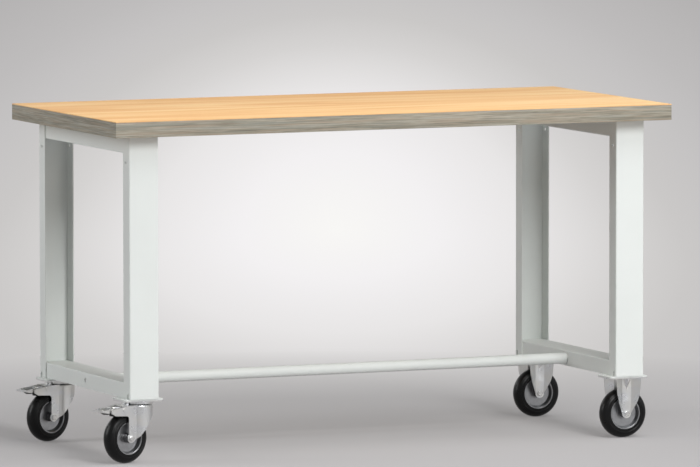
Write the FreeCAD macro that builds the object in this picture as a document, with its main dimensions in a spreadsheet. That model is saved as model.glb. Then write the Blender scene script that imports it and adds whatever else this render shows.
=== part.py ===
"""Assembly table: a mobile workbench on two swivel castors with brakes and two fixed castors.

The origin is on the floor, below the centre of the whole table's bounding box. +X runs along
the length to the right, +Y to the back and +Z up. All lengths are millimetres, all angles
degrees. Every size lives in the spreadsheet "sizes", and the objects are bound to its cells.
"""
import FreeCAD, Part
import math
import os

import Sketcher

DOC = FreeCAD.newDocument("assembly_table")
SHEET = DOC.addObject("Spreadsheet::Sheet", "sizes")
NODES = {}

# ---------------------------------------------------------------------------
# Sizes
# ---------------------------------------------------------------------------
SIZES = {
    # worktop
    "worktop_length": 1500,
    "worktop_depth": 700,
    "worktop_thickness": 40,
    "surface_thickness": 2,
    "edge_band_thickness": 2,
    "table_height": 845,
    # side frames
    "leg_inset_end": 53.5,
    "leg_inset_front": 48,
    "leg_width": 77,
    "leg_depth": 40,
    "leg_sheet": 2.5,
    "leg_bend_radius": 3.5,
    "weld_gap": 0.2,
    "upper_rail_height": 44,
    "lower_rail_height": 39,
    "rail_sheet": 2.5,
    "rail_bend_radius": 3,
    "flange_hole_radius": 4.5,
    "flange_hole_drop": 65,
    "notch_radius": 5.5,
    "notch_height": 14,
    # worktop screws
    "screws_per_rail": 3,
    "screw_radius": 2.75,
    "screw_length": 30,
    "screw_head_radius": 6,
    "screw_head_height": 3.5,
    "screw_end_margin": 110,
    "screw_access_radius": 8,
    # stretcher between the side frames
    "stretcher_radius": 14,
    "stretcher_wall": 2,
    "insert_length": 22,
    "insert_collar": 3,
    "stretcher_bolt_radius": 4,
    "stretcher_bolt_reach": 18,
    "stretcher_head_radius": 6.5,
    "stretcher_head_height": 8,
    "stretcher_access_radius": 5.8,
    # foot plates and castor screws
    "foot_plate_thickness": 3,
    "castor_screw_radius": 4,
    "bolt_spacing_x": 80,
    "bolt_spacing_y": 60,
    "hole_clearance": 0.1,
    # castors in general
    "castor_head_height": 30,
    "plate_length": 105,
    "plate_width": 80,
    "plate_set_back": 2.5,
    "plate_thickness": 3,
    "plate_corner_radius": 8,
    "running_clearance": 0.05,
    "wheel_side_gap": 3.25,
    "axle_radius": 4,
    "axle_head_flats": 13,
    "axle_head_height": 4,
    "axle_nut_height": 5,
    # wheels
    "wheel_radius": 62.5,
    "tyre_width": 37.5,
    "tyre_seat_radius": 40.5,
    "tyre_shoulder_radius": 18,
    "tyre_groove_radius": 1.2,
    "tyre_groove_height": 6.5,
    "rim_lip_height": 2,
    "rim_lip_rounding": 1,
    "rim_edge_inset": 1.25,
    "rim_bowl_depth": 7,
    "rim_web_offset": 6.5,
    "rim_sheet": 1.8,
    "hub_radius": 11.5,
    "hub_side_gap": 0.7,
    "hub_collar_length": 3,
    "hub_collar_step": 2.5,
    # swivel forks
    "swivel_angle": 18,
    "trail": 42,
    "crown_radius": 36,
    "crown_thickness": 4,
    "crown_rounding": 4,
    "crown_rear": 50,
    "fork_sheet": 3,
    "fork_rear": 104,
    "band_top_drop": 7.5,
    "band_bottom_drop": 25.5,
    "band_knee": 92,
    "band_knee_drop": 22.5,
    "band_end_drop": 15,
    "arm_rear": 49.5,
    "arm_corner_radius": 7.5,
    "boss_radius": 11,
    "arm_front_bottom": 18.5,
    "arm_front_rise": 4,
    "arm_front_top": 29,
    "arm_front_drop": 17.5,
    "race_radius": 37,
    "race_hole_radius": 17,
    "race_thickness": 6,
    "race_gap": 2.5,
    "ball_radius": 3,
    "ball_circle": 25,
    "balls_per_race": 22,
    "king_pin_radius": 6,
    "king_pin_reach": 13.5,
    "king_pin_nut_flats": 19,
    "king_pin_nut_height": 7,
    "king_pin_nut_gap": 0.5,
    # brake
    "pedal_pin_back": 62,
    "pedal_pin_drop": 9.5,
    "pedal_pin_radius": 4,
    "pedal_pin_head_radius": 5.5,
    "pedal_pin_head_height": 1,
    "pedal_side_gap": 2,
    "pedal_sheet": 3,
    "pedal_eye_radius": 7,
    "pedal_tilt": 10,
    "pedal_plate_start": 70,
    "shoe_rise": 6.7557,
    "pedal_side_end": 121,
    "pedal_side_height": 5,
    "pedal_blade_start": 107,
    "pedal_tip": 134,
    "pedal_rim_depth": 5.5,
    "pedal_rim_sheet": 2.5,
    "pedal_tip_rounding": 14,
    "shoe_side_gap": 3,
    "shoe_angle": 30,
    "shoe_gap": 3.6,
    "shoe_half_length": 5,
    "shoe_foot_half_length": 6,
    # swivel lock
    "lock_front": 38.5,
    "lock_sheet": 2,
    "lock_foot": 10,
    "lock_half_width": 10.5,
    "lock_height": 7,
    "lock_slot_half_width": 3,
    "spring_wire_radius": 0.8,
    "spring_mean_radius": 5.4,
    "spring_pitch": 2.2,
    "spring_length": 22,
    # fixed brackets
    "wing_half_width": 34,
    "wing_edge_inset": 1,
    "wing_middle_rise": 50,
    "wing_middle_half_width": 31,
    "wing_middle_step": 1,
    "wing_bottom_rise": 31,
    "wing_bottom_half_width": 26,
    "wing_bottom_step": 4,
    "floor_half_width": 12.5,
    "floor_recess": 2,
    "window_half_width": 12,
    "window_height": 28,
    "bracket_sheet": 3,
    "bracket_boss_radius": 12,
    # moved so that the origin lies below the centre of the bounding box
    "frame_shift": 0,
}

# Places that several pieces share, worked out from the sizes above.
PLACES = {
    "worktop_underside": "=table_height - worktop_thickness",
    "castor_height": "=2 * wheel_radius + castor_head_height",
    "leg_bottom": "=castor_height + foot_plate_thickness",
    "leg_length": "=worktop_underside - leg_bottom",
    "leg_x": "=worktop_length / 2 - leg_inset_end - leg_width / 2",
    "leg_face_y": "=worktop_depth / 2 - leg_inset_front",
    "rail_width": "=leg_width - 2 * leg_sheet - 2 * weld_gap",
    "rail_length": "=2 * (leg_face_y - leg_bend_radius)",
    "castor_y": "=leg_face_y - plate_set_back - plate_width / 2",
    "plate_bottom": "=castor_height - plate_thickness",
    "race_bottom": "=plate_bottom - race_thickness",
    "crown_top": "=race_bottom - race_gap",
    "crown_bottom": "=crown_top - crown_thickness",
    "pedal_pin_height": "=crown_top - pedal_pin_drop",
    "pedal_plate_height": "=shoe_z + shoe_rise",
    "hub_bore_radius": "=axle_radius + running_clearance",
    "ball_height": "=(race_bottom + crown_top) / 2",
    "king_pin_bore": "=king_pin_radius + running_clearance",
    "rim_half_width": "=tyre_width / 2 - rim_edge_inset",
    "fork_inner": "=tyre_width / 2 + wheel_side_gap",
    "fork_half_width": "=fork_inner + fork_sheet",
    "bracket_inner": "=tyre_width / 2 + wheel_side_gap",
    "bracket_outer": "=bracket_inner + bracket_sheet",
    "wing_reach": "=plate_width / 2 - wing_edge_inset - bracket_outer",
    "wing_middle_reach": "=wing_reach - wing_middle_step",
    "wing_bottom_reach": "=wing_reach - wing_bottom_step",
    "pedal_half_width": "=fork_inner - pedal_side_gap",
    "shoe_half_width": "=pedal_half_width - pedal_sheet - shoe_side_gap",
    "tyre_shoulder": "=min(tyre_shoulder_radius; wheel_radius - tyre_seat_radius - 1; tyre_width / 2 - 0.5)",
    "shoe_reach": "=wheel_radius + shoe_gap",
    "shoe_x": "=-trail - shoe_reach * sin(shoe_angle)",
    "shoe_z": "=wheel_radius + shoe_reach * cos(shoe_angle)",
    "stretcher_z": "=leg_bottom + lower_rail_height / 2",
    "stretcher_half": "=leg_x - rail_width / 2",
    "core_length": "=worktop_length - 2 * edge_band_thickness",
    "core_depth": "=worktop_depth - 2 * edge_band_thickness",
    "core_thickness": "=worktop_thickness - surface_thickness",
    "screw_step": "=(rail_length - 2 * screw_end_margin) / (screws_per_rail - 1)",
}


def fill_sheet():
    """Write every size as plain text and every shared place as a formula, each with an alias."""
    for row, (alias, value) in enumerate(list(SIZES.items()) + list(PLACES.items()), start=1):
        SHEET.set("A%d" % row, alias.replace("_", " "))
        SHEET.set("B%d" % row, str(value))
        SHEET.setAlias("B%d" % row, alias)
    DOC.recompute()


def size(alias):
    """The present value of a cell as a plain number."""
    value = getattr(SHEET, alias)
    return float(getattr(value, "Value", value))


WORDS = None


def bound(expression):
    """Prefix every alias in an expression with the sheet's name."""
    out = []
    word = ""
    for char in expression + " ":
        if char.isalnum() or char == "_":
            word += char
            continue
        out.append("sizes." + word if word in WORDS else word)
        out.append(char)
        word = ""
    return "".join(out).strip()


def bind(thing, prop, expression):
    """Bind one property to an expression over the sheet's aliases."""
    thing.setExpression(prop, bound(str(expression)))


def place(thing, x="0", y="0", z="0", angle="0", axis=(0, 0, 1)):
    """Give an object its Placement: a point and a turn about an axis, all bound to the sheet."""
    thing.Placement = FreeCAD.Placement(
        FreeCAD.Vector(0, 0, 0), FreeCAD.Rotation(FreeCAD.Vector(*axis), 0.001))
    bind(thing, "Placement.Base.x", x)
    bind(thing, "Placement.Base.y", y)
    bind(thing, "Placement.Base.z", z)
    bind(thing, "Placement.Rotation.Angle", angle)


def node(thing, name):
    """Register a finished object as the sub-part with this name."""
    thing.Label = name
    NODES[name] = thing
    return thing


# ---------------------------------------------------------------------------
# PartDesign helpers
# ---------------------------------------------------------------------------
def new_body(name):
    """An empty body."""
    return DOC.addObject("PartDesign::Body", name + "_body")


def new_sketch(body, name, plane, offset="0"):
    """A sketch on one of the body's own origin planes, moved along its normal by offset."""
    sketch = body.newObject("Sketcher::SketchObject", name)
    role = plane + "_Plane"
    base = [item for item in body.Origin.OriginFeatures if item.Role == role][0]
    sketch.AttachmentSupport = [(base, "")]
    sketch.MapMode = "FlatFace"
    bind(sketch, "AttachmentOffset.Base.z", offset)
    return sketch


def pin_point(sketch, geometry, end, u, v):
    """Hold one end of a sketch edge at (u, v), both expressions."""
    for kind, expression in (("DistanceX", u), ("DistanceY", v)):
        index = sketch.addConstraint(Sketcher.Constraint(kind, geometry, end, 1.0))
        bind(sketch, "Constraints[%d]" % index, expression)


def add_polygon(sketch, points):
    """A closed outline through points, each a pair of expressions."""
    values = [(number(u), number(v)) for u, v in points]
    first = sketch.GeometryCount
    for index, start in enumerate(values):
        end = values[(index + 1) % len(values)]
        sketch.addGeometry(Part.LineSegment(FreeCAD.Vector(*start, 0), FreeCAD.Vector(*end, 0)), False)
    for index, (u, v) in enumerate(points):
        here = first + index
        sketch.addConstraint(Sketcher.Constraint("Coincident", here, 1, first + (index - 1) % len(points), 2))
        pin_point(sketch, here, 1, u, v)


def add_rectangle(sketch, u0, v0, u1, v1):
    """A rectangle from (u0, v0) to (u1, v1)."""
    add_polygon(sketch, [(u0, v0), (u1, v0), (u1, v1), (u0, v1)])


def add_circle(sketch, u, v, radius):
    """A circle at (u, v)."""
    centre = FreeCAD.Vector(number(u), number(v), 0)
    index = sketch.addGeometry(Part.Circle(centre, FreeCAD.Vector(0, 0, 1), number(radius)), False)
    held = sketch.addConstraint(Sketcher.Constraint("Radius", index, number(radius)))
    bind(sketch, "Constraints[%d]" % held, radius)
    pin_point(sketch, index, 3, u, v)


def number(expression):
    """The present value of an expression over the sheet's aliases."""
    return float(getattr(SHEET.evalExpression(bound(str(expression))), "Value",
                         SHEET.evalExpression(bound(str(expression)))))


def pad(body, sketch, length, symmetric=False, reverse=False):
    """Extrude a sketch."""
    feature = body.newObject("PartDesign::Pad", "Pad")
    feature.Profile = sketch
    feature.SideType = "Symmetric" if symmetric else "One side"
    feature.Reversed = reverse
    bind(feature, "Length", length)
    return feature


def pocket(body, sketch, length=None, symmetric=False, reverse=False):
    """Cut a sketch out of the body, through all when no length is given, and check it cut."""
    DOC.recompute()
    before = body.Shape.Volume
    feature = body.newObject("PartDesign::Pocket", "Pocket")
    feature.Profile = sketch
    feature.SideType = "Symmetric" if symmetric else "One side"
    feature.Reversed = reverse
    if length is None:
        feature.Type = "ThroughAll"
    else:
        bind(feature, "Length", length)
    DOC.recompute()
    if not body.Shape.Volume < before - 0.01:
        raise ValueError("%s: the pocket of %s removes nothing" % (body.Label, sketch.Name))
    return feature


def revolve(body, kind, sketch, axis):
    """Turn a sketch through a full circle about one of its own axes."""
    feature = body.newObject("PartDesign::" + kind, kind)
    feature.Profile = sketch
    feature.ReferenceAxis = (sketch, [axis])
    feature.Angle = 360
    return feature


def mirrored(body, originals, plane):
    """Mirror features of a body about one of its origin planes."""
    feature = body.newObject("PartDesign::Mirrored", "Mirrored")
    role = plane + "_Plane"
    base = [item for item in body.Origin.OriginFeatures if item.Role == role][0]
    feature.Originals = originals
    feature.MirrorPlane = (base, [""])
    body.Tip = feature
    return feature


def fillet(body, radius, wanted):
    """Round the edges that wanted(edge) picks, in the body's own frame."""
    DOC.recompute()
    tip = body.Tip
    names = ["Edge%d" % (i + 1) for i, edge in enumerate(tip.Shape.Edges) if wanted(edge)]
    if not names:
        raise ValueError("%s: no edge to round" % body.Label)
    feature = body.newObject("PartDesign::Fillet", "Fillet")
    feature.Base = (tip, names)
    bind(feature, "Radius", radius)
    DOC.recompute()
    return feature


def near(value, target):
    """True when two lengths agree to a hundredth of a millimetre."""
    return abs(value - target) < 0.01


def along(edge, axis):
    """True for a straight edge that runs along an axis, 0 for X, 1 for Y or 2 for Z."""
    if len(edge.Vertexes) < 2 or not isinstance(edge.Curve, Part.Line):
        return False
    return abs(edge.tangentAt(edge.FirstParameter)[axis]) > 0.999


def middle(edge):
    """The middle of an edge's box."""
    return edge.BoundBox.Center


# ---------------------------------------------------------------------------
# Part helpers
# ---------------------------------------------------------------------------
def cylinder(radius, height, x="0", y="0", z="0", angle="0", axis=(0, 0, 1)):
    """A cylinder along +Z from its Placement, turned about axis."""
    solid = DOC.addObject("Part::Cylinder", "Cylinder")
    bind(solid, "Radius", radius)
    bind(solid, "Height", height)
    place(solid, x, y, z, angle, axis)
    return solid


def hexagon(flats, height, x="0", y="0", z="0", angle="0", axis=(0, 0, 1)):
    """A hexagonal prism, measured across its flats."""
    solid = DOC.addObject("Part::Prism", "Prism")
    solid.Polygon = 6
    bind(solid, "Circumradius", "(%s) / 2 / cos(30)" % flats)
    bind(solid, "Height", height)
    place(solid, x, y, z, angle, axis)
    return solid


def box(length, width, height, x="0", y="0", z="0"):
    """A box from its lowest corner."""
    solid = DOC.addObject("Part::Box", "Box")
    bind(solid, "Length", length)
    bind(solid, "Width", width)
    bind(solid, "Height", height)
    place(solid, x, y, z)
    return solid


def fused(*solids):
    """One solid from several."""
    result = DOC.addObject("Part::MultiFuse", "Fusion")
    result.Shapes = list(solids)
    result.Refine = True
    return result


def cut(base, tool):
    """Base without tool."""
    result = DOC.addObject("Part::Cut", "Cut")
    result.Base = base
    result.Tool = tool
    return result


def group(name, solids):
    """Several separate solids as one sub-part."""
    compound = DOC.addObject("Part::Compound", name + "_group")
    compound.Links = solids
    return node(compound, name)


# ---------------------------------------------------------------------------
# Where things stand
# ---------------------------------------------------------------------------
# Each corner: which way its leg lies from the middle along X and along Y.
CORNERS = {
    "front_left": (-1, -1),
    "front_right": (1, -1),
    "rear_left": (-1, 1),
    "rear_right": (1, 1),
}
SWIVEL_CORNERS = ("front_left", "rear_left")
FIXED_CORNERS = ("front_right", "rear_right")
SIDES = {"left": -1, "right": 1}


def corner_x(corner):
    """The X of a corner's leg and castor, as an expression."""
    return "frame_shift + %d * leg_x" % CORNERS[corner][0]


def castor_place(corner):
    """The point on the floor below a castor's plate, and its turn about Z."""
    turn = "swivel_angle" if corner in SWIVEL_CORNERS else "0"
    return {"x": corner_x(corner), "y": "%d * castor_y" % CORNERS[corner][1], "angle": turn}


def wheel_place(corner):
    """The middle of a castor's wheel, and its turn about Z."""
    where = castor_place(corner)
    if corner in SWIVEL_CORNERS:
        where["x"] += " - trail * cos(swivel_angle)"
        where["y"] += " - trail * sin(swivel_angle)"
    where["z"] = "wheel_radius"
    return where


# ---------------------------------------------------------------------------
# Worktop
# ---------------------------------------------------------------------------
def screw_points(side):
    """Where the worktop screws of one side frame stand."""
    count = int(size("screws_per_rail"))
    x = "frame_shift + %d * leg_x" % SIDES[side]
    return [(x, "-rail_length / 2 + screw_end_margin + %d * screw_step" % i) for i in range(count)]


def make_worktop():
    """Wood core with blind pilot holes, beech surface and four edge bands."""
    body = new_body("worktop_core")
    sketch = new_sketch(body, "core_outline", "XY")
    add_rectangle(sketch, "-core_length / 2", "-core_depth / 2", "core_length / 2", "core_depth / 2")
    pad(body, sketch, "core_thickness")
    holes = new_sketch(body, "pilot_holes", "XY")
    for side in SIDES:
        for x, y in screw_points(side):
            add_circle(holes, x + " - frame_shift", y, "screw_radius + hole_clearance")
    pocket(body, holes, "screw_length - rail_sheet + 1", reverse=True)
    place(body, "frame_shift", "0", "worktop_underside")
    node(body, "worktop_core")

    surface = box("worktop_length", "worktop_depth", "surface_thickness",
                  "frame_shift - worktop_length / 2", "-worktop_depth / 2",
                  "table_height - surface_thickness")
    node(surface, "worktop_surface")

    for name, y in (("front", "-worktop_depth / 2"), ("rear", "core_depth / 2")):
        band = box("worktop_length", "edge_band_thickness", "core_thickness",
                   "frame_shift - worktop_length / 2", y, "worktop_underside")
        node(band, "edge_band_" + name)
    for name, x in (("left", "-worktop_length / 2"), ("right", "core_length / 2")):
        band = box("edge_band_thickness", "core_depth", "core_thickness",
                   "frame_shift + " + x, "-core_depth / 2", "worktop_underside")
        node(band, "edge_band_" + name)


def make_worktop_screws():
    """Pan-head screws: heads inside the upper rails, shanks up into the core."""
    screws = []
    head_z = "worktop_underside - rail_sheet - screw_head_height"
    for side in SIDES:
        for x, y in screw_points(side):
            head = cylinder("screw_head_radius", "screw_head_height", x, y, head_z)
            shank = cylinder("screw_radius", "screw_length + screw_head_height", x, y, head_z)
            screws.append(fused(head, shank))
    group("worktop_screws", screws)


# ---------------------------------------------------------------------------
# Side frames
# ---------------------------------------------------------------------------
def make_leg(corner):
    """C-profile leg: the web faces out, the flanges run inwards and have a hole and a notch."""
    body = new_body("leg_" + corner)
    half = "leg_width / 2"
    inner = "(leg_width / 2 - leg_sheet)"
    profile = new_sketch(body, "c_profile", "XY")
    add_polygon(profile, [
        ("-" + half, "0"), (half, "0"), (half, "leg_depth"), (inner, "leg_depth"),
        (inner, "leg_sheet"), ("-" + inner, "leg_sheet"), ("-" + inner, "leg_depth"),
        ("-" + half, "leg_depth")])
    pad(body, profile, "leg_length")

    holes = new_sketch(body, "flange_holes", "YZ")
    add_circle(holes, "leg_depth / 2", "leg_length - flange_hole_drop", "flange_hole_radius")
    pocket(body, holes, symmetric=True)
    notch_y = "plate_set_back + plate_width / 2 - bolt_spacing_y / 2"
    notch = new_sketch(body, "notch", "YZ")
    add_rectangle(notch, notch_y + " - notch_radius", "-1", notch_y + " + notch_radius",
                  "notch_height - notch_radius")
    pocket(body, notch, symmetric=True)
    notch_top = new_sketch(body, "notch_top", "YZ")
    add_circle(notch_top, notch_y, "notch_height - notch_radius", "notch_radius")
    pocket(body, notch_top, symmetric=True)

    fillet(body, "leg_bend_radius", lambda edge: along(edge, 2) and near(middle(edge).y, 0))
    fillet(body, "leg_bend_radius - leg_sheet",
           lambda edge: along(edge, 2) and near(middle(edge).y, size("leg_sheet"))
           and near(abs(middle(edge).x), size("leg_width") / 2 - size("leg_sheet")))
    side_y = CORNERS[corner][1]
    place(body, corner_x(corner), "%d * leg_face_y" % side_y, "leg_bottom", "0" if side_y < 0 else "180")
    node(body, "leg_" + corner)


def make_upper_rail(side):
    """Rectangular tube under the worktop, with holes for the screws and access holes below them."""
    body = new_body("upper_rail_" + side)
    outline = new_sketch(body, "tube_outline", "XZ")
    add_rectangle(outline, "-rail_width / 2", "-upper_rail_height", "rail_width / 2", "0")
    pad(body, outline, "rail_length", symmetric=True)
    fillet(body, "rail_bend_radius", lambda edge: along(edge, 1))
    bore = new_sketch(body, "tube_bore", "XZ")
    add_rectangle(bore, "-rail_width / 2 + rail_sheet", "-upper_rail_height + rail_sheet",
                  "rail_width / 2 - rail_sheet", "-rail_sheet")
    pocket(body, bore, symmetric=True)
    screw_holes = new_sketch(body, "screw_holes", "XY")
    access_holes = new_sketch(body, "access_holes", "XY", "-upper_rail_height")
    for x, y in screw_points(side):
        local_x = x + " - frame_shift - %d * leg_x" % SIDES[side]
        add_circle(screw_holes, local_x, y, "screw_radius + hole_clearance")
        add_circle(access_holes, local_x, y, "screw_access_radius")
    pocket(body, screw_holes, "2 * rail_sheet")
    pocket(body, access_holes, "2 * rail_sheet", reverse=True)
    place(body, "frame_shift + %d * leg_x" % SIDES[side], "0", "worktop_underside")
    node(body, "upper_rail_" + side)


def make_lower_rail(side):
    """Channel, open below: a bolt hole in the inner wall and an access hole in the outer one.

    The local +X side is the outer one.
    """
    body = new_body("lower_rail_" + side)
    half = "rail_width / 2"
    inner = "(rail_width / 2 - rail_sheet)"
    top = "lower_rail_height"
    profile = new_sketch(body, "channel_profile", "XZ")
    add_polygon(profile, [
        ("-" + half, "weld_gap"), ("-" + inner, "weld_gap"), ("-" + inner, top + " - rail_sheet"),
        (inner, top + " - rail_sheet"), (inner, "weld_gap"), (half, "weld_gap"), (half, top),
        ("-" + half, top)])
    pad(body, profile, "rail_length", symmetric=True)
    fillet(body, "rail_bend_radius", lambda edge: along(edge, 1)
           and near(middle(edge).z, size("lower_rail_height")))
    height = "stretcher_z - leg_bottom"
    access = new_sketch(body, "access_hole", "YZ")
    add_circle(access, "0", height, "stretcher_access_radius")
    pocket(body, access, half + " + 1", reverse=True)
    bolt = new_sketch(body, "bolt_hole", "YZ")
    add_circle(bolt, "0", height, "stretcher_bolt_radius + hole_clearance")
    pocket(body, bolt, half + " + 1")
    place(body, "frame_shift + %d * leg_x" % SIDES[side], "0", "leg_bottom",
          "0" if SIDES[side] > 0 else "180")
    node(body, "lower_rail_" + side)


def screw_spots():
    """The four castor screws, measured from the middle of a plate."""
    signs = [(u, v) for u in (-1, 1) for v in (-1, 1)]
    return [("%d * bolt_spacing_x / 2" % u, "%d * bolt_spacing_y / 2" % v) for u, v in signs]


def plate_solid(name, thickness, centre_hole=None, countersunk=True):
    """A plate with rounded corners and four screw holes, its underside at z = 0."""
    body = new_body(name)
    outline = new_sketch(body, "plate_outline", "XY")
    add_rectangle(outline, "-plate_length / 2", "-plate_width / 2", "plate_length / 2", "plate_width / 2")
    pad(body, outline, thickness)
    holes = new_sketch(body, "screw_holes", "XY")
    for x, y in screw_spots():
        add_circle(holes, x, y, "castor_screw_radius + hole_clearance")
    if centre_hole:
        add_circle(holes, "0", "0", centre_hole)
    pocket(body, holes, reverse=True)
    if countersunk:
        sinks = new_sketch(body, "countersinks", "XY")
        for x, y in screw_spots():
            add_circle(sinks, x, y, "castor_screw_radius + hole_clearance + %s" % thickness)
        sink = pocket(body, sinks, thickness, reverse=True)
        sink.TaperAngle = -45
    fillet(body, "plate_corner_radius", lambda edge: along(edge, 2)
           and near(abs(middle(edge).x), size("plate_length") / 2))
    return body


def make_foot_plates():
    """One tapped plate under each leg."""
    plates = []
    for corner in CORNERS:
        body = plate_solid("foot_plate_" + corner, "foot_plate_thickness", countersunk=False)
        where = castor_place(corner)
        place(body, where["x"], where["y"], "castor_height")
        plates.append(body)
    group("foot_plates", plates)


def make_castor_screws():
    """Countersunk screws, flush below the castors' plates, up into the foot plates."""
    screws = []
    for corner in CORNERS:
        where = castor_place(corner)
        for dx, dy in screw_spots():
            x = where["x"] + " + " + dx
            y = where["y"] + " + " + dy
            head = DOC.addObject("Part::Cone", "Cone")
            bind(head, "Radius1", "castor_screw_radius + plate_thickness")
            bind(head, "Radius2", "castor_screw_radius")
            bind(head, "Height", "plate_thickness")
            place(head, x, y, "plate_bottom")
            shank = cylinder("castor_screw_radius", "plate_thickness + foot_plate_thickness", x, y,
                             "plate_bottom")
            screws.append(fused(head, shank))
    group("castor_screws", screws)


# ---------------------------------------------------------------------------
# Stretcher
# ---------------------------------------------------------------------------
def make_stretcher():
    """Round tube between the lower rails, with a threaded insert and a bolt at each end."""
    lie = {"y": "0", "z": "stretcher_z", "angle": "90", "axis": (0, 1, 0)}
    bore = "stretcher_radius - stretcher_wall"
    tube_half = "(stretcher_half - insert_collar)"
    outside = cylinder("stretcher_radius", "2 * " + tube_half, "frame_shift - " + tube_half, **lie)
    inside = cylinder(bore, "2 * " + tube_half + " + 2", "frame_shift - " + tube_half + " - 1", **lie)
    node(cut(outside, inside), "stretcher_tube")

    inserts = []
    bolts = []
    for side in SIDES.values():
        plug_end = "stretcher_half" if side > 0 else "insert_length + insert_collar - stretcher_half"
        plug_x = "frame_shift + (%s) - insert_length - insert_collar" % plug_end
        collar_x = "frame_shift + stretcher_half - insert_collar" if side > 0 else "frame_shift - stretcher_half"
        plug = cylinder(bore + " - hole_clearance", "insert_length + insert_collar", plug_x, **lie)
        collar = cylinder("stretcher_radius", "insert_collar", collar_x, **lie)
        thread = cylinder("stretcher_bolt_radius + hole_clearance", "insert_length + insert_collar + 2",
                          plug_x + " - 1", **lie)
        inserts.append(cut(fused(plug, collar), thread))

        wall = "(stretcher_half + rail_sheet)"
        head_x = wall if side > 0 else "-" + wall + " - stretcher_head_height"
        shank_x = "stretcher_half - stretcher_bolt_reach" if side > 0 else "-" + wall + " - 1"
        head = cylinder("stretcher_head_radius", "stretcher_head_height", "frame_shift + " + head_x, **lie)
        shank = cylinder("stretcher_bolt_radius", "stretcher_bolt_reach + rail_sheet + 1",
                         "frame_shift + " + shank_x, **lie)
        bolts.append(fused(head, shank))
    group("stretcher_inserts", inserts)
    group("stretcher_bolts", bolts)


# ---------------------------------------------------------------------------
# Wheels: local frame at the wheel's middle, with the axle along Y
# ---------------------------------------------------------------------------
def make_rim(corner):
    """Two pressed rim halves that meet in the middle plane of the wheel."""
    edge = "rim_half_width"
    seat = "(tyre_seat_radius - hole_clearance)"
    lip = "(tyre_seat_radius - rim_lip_height)"
    bowl = "(tyre_seat_radius - rim_bowl_depth)"
    bore = "hub_radius + hole_clearance"
    outline = [
        ("0", seat), ("0", seat + " - rim_sheet"), (edge + " - 2 * rim_sheet", seat + " - rim_sheet"),
        ("rim_web_offset - rim_sheet", bowl + " + rim_sheet / 2"), ("rim_web_offset - rim_sheet", bore),
        ("rim_web_offset", bore), ("rim_web_offset", bowl),
        (edge + " - rim_lip_rounding", lip + " - rim_lip_rounding"), (edge, lip), (edge, seat)]
    halves = []
    for sign in (-1, 1):
        body = new_body("rim_half_" + corner)
        profile = new_sketch(body, "rim_profile", "YZ")
        add_polygon(profile, [("%d * (%s)" % (sign, y), r) for y, r in outline])
        revolve(body, "Revolution", profile, "H_Axis")
        place(body, **wheel_place(corner))
        halves.append(body)
    group("rim_" + corner, halves)


def make_tyre(corner):
    """Solid rubber tyre with a round crown and a groove round each sidewall."""
    body = new_body("tyre_" + corner)
    half = "tyre_width / 2"
    profile = new_sketch(body, "tyre_profile", "YZ")
    add_polygon(profile, [("-" + half, "tyre_seat_radius"), (half, "tyre_seat_radius"),
                          (half, "wheel_radius"), ("-" + half, "wheel_radius")])
    revolve(body, "Revolution", profile, "H_Axis")
    fillet(body, "tyre_shoulder",
           lambda edge: near(getattr(edge.Curve, "Radius", 0), size("wheel_radius")))
    grooves = new_sketch(body, "sidewall_grooves", "YZ")
    for sign in ("-", ""):
        add_circle(grooves, sign + half, "tyre_seat_radius + tyre_groove_height", "tyre_groove_radius")
    revolve(body, "Groove", grooves, "H_Axis")
    place(body, **wheel_place(corner))
    node(body, "tyre_" + corner)


def make_hub(corner):
    """Bearing tube that carries the rim and runs on the axle, with a narrower collar at each end."""
    body = new_body("hub_" + corner)
    profile = new_sketch(body, "hub_profile", "YZ")
    inner = "fork_inner" if corner in SWIVEL_CORNERS else "bracket_inner"
    end = "(%s - hub_side_gap)" % inner
    shoulder = "(%s - hub_side_gap - hub_collar_length)" % inner
    collar = "hub_radius - hub_collar_step"
    add_polygon(profile, [
        ("-" + end, "hub_bore_radius"), (end, "hub_bore_radius"), (end, collar), (shoulder, collar),
        (shoulder, "hub_radius"), ("-" + shoulder, "hub_radius"), ("-" + shoulder, collar),
        ("-" + end, collar)])
    revolve(body, "Revolution", profile, "H_Axis")
    place(body, **wheel_place(corner))
    node(body, "hub_" + corner)


def make_axle(corner, outer):
    """Hexagon bolt through both arms, with its head at the front and a nut at the back."""
    where = wheel_place(corner)
    turn = where["angle"]

    def along_axle(distance):
        """The point at a distance along the wheel's own Y axis."""
        return ("%s - (%s) * sin(%s)" % (where["x"], distance, turn),
                "%s + (%s) * cos(%s)" % (where["y"], distance, turn))

    def lay(solid, distance):
        """Turn a solid made along +Z so that it runs along the axle from a distance."""
        x, y = along_axle(distance)
        solid.setExpression("Placement", None)
        turned = FreeCAD.Rotation(FreeCAD.Vector(1, 0, 0), -90)
        angle = FreeCAD.Rotation(FreeCAD.Vector(0, 0, 1), number(turn))
        solid.Placement = FreeCAD.Placement(FreeCAD.Vector(0, 0, 0), angle.multiply(turned))
        bind(solid, "Placement.Base.x", x)
        bind(solid, "Placement.Base.y", y)
        bind(solid, "Placement.Base.z", "wheel_radius")
        return solid

    head = lay(raw_hexagon("axle_head_flats", "axle_head_height"), "-%s - axle_head_height" % outer)
    shank = lay(raw_cylinder("axle_radius", "2 * %s + axle_nut_height + 2.5" % outer), "-%s - 0.5" % outer)
    node(fused(head, shank), "axle_bolt_" + corner)
    nut = lay(raw_hexagon("axle_head_flats", "axle_nut_height"), outer)
    hole = lay(raw_cylinder("axle_radius + hole_clearance", "axle_nut_height + 2"), outer + " - 1")
    node(cut(nut, hole), "axle_nut_" + corner)


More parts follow.
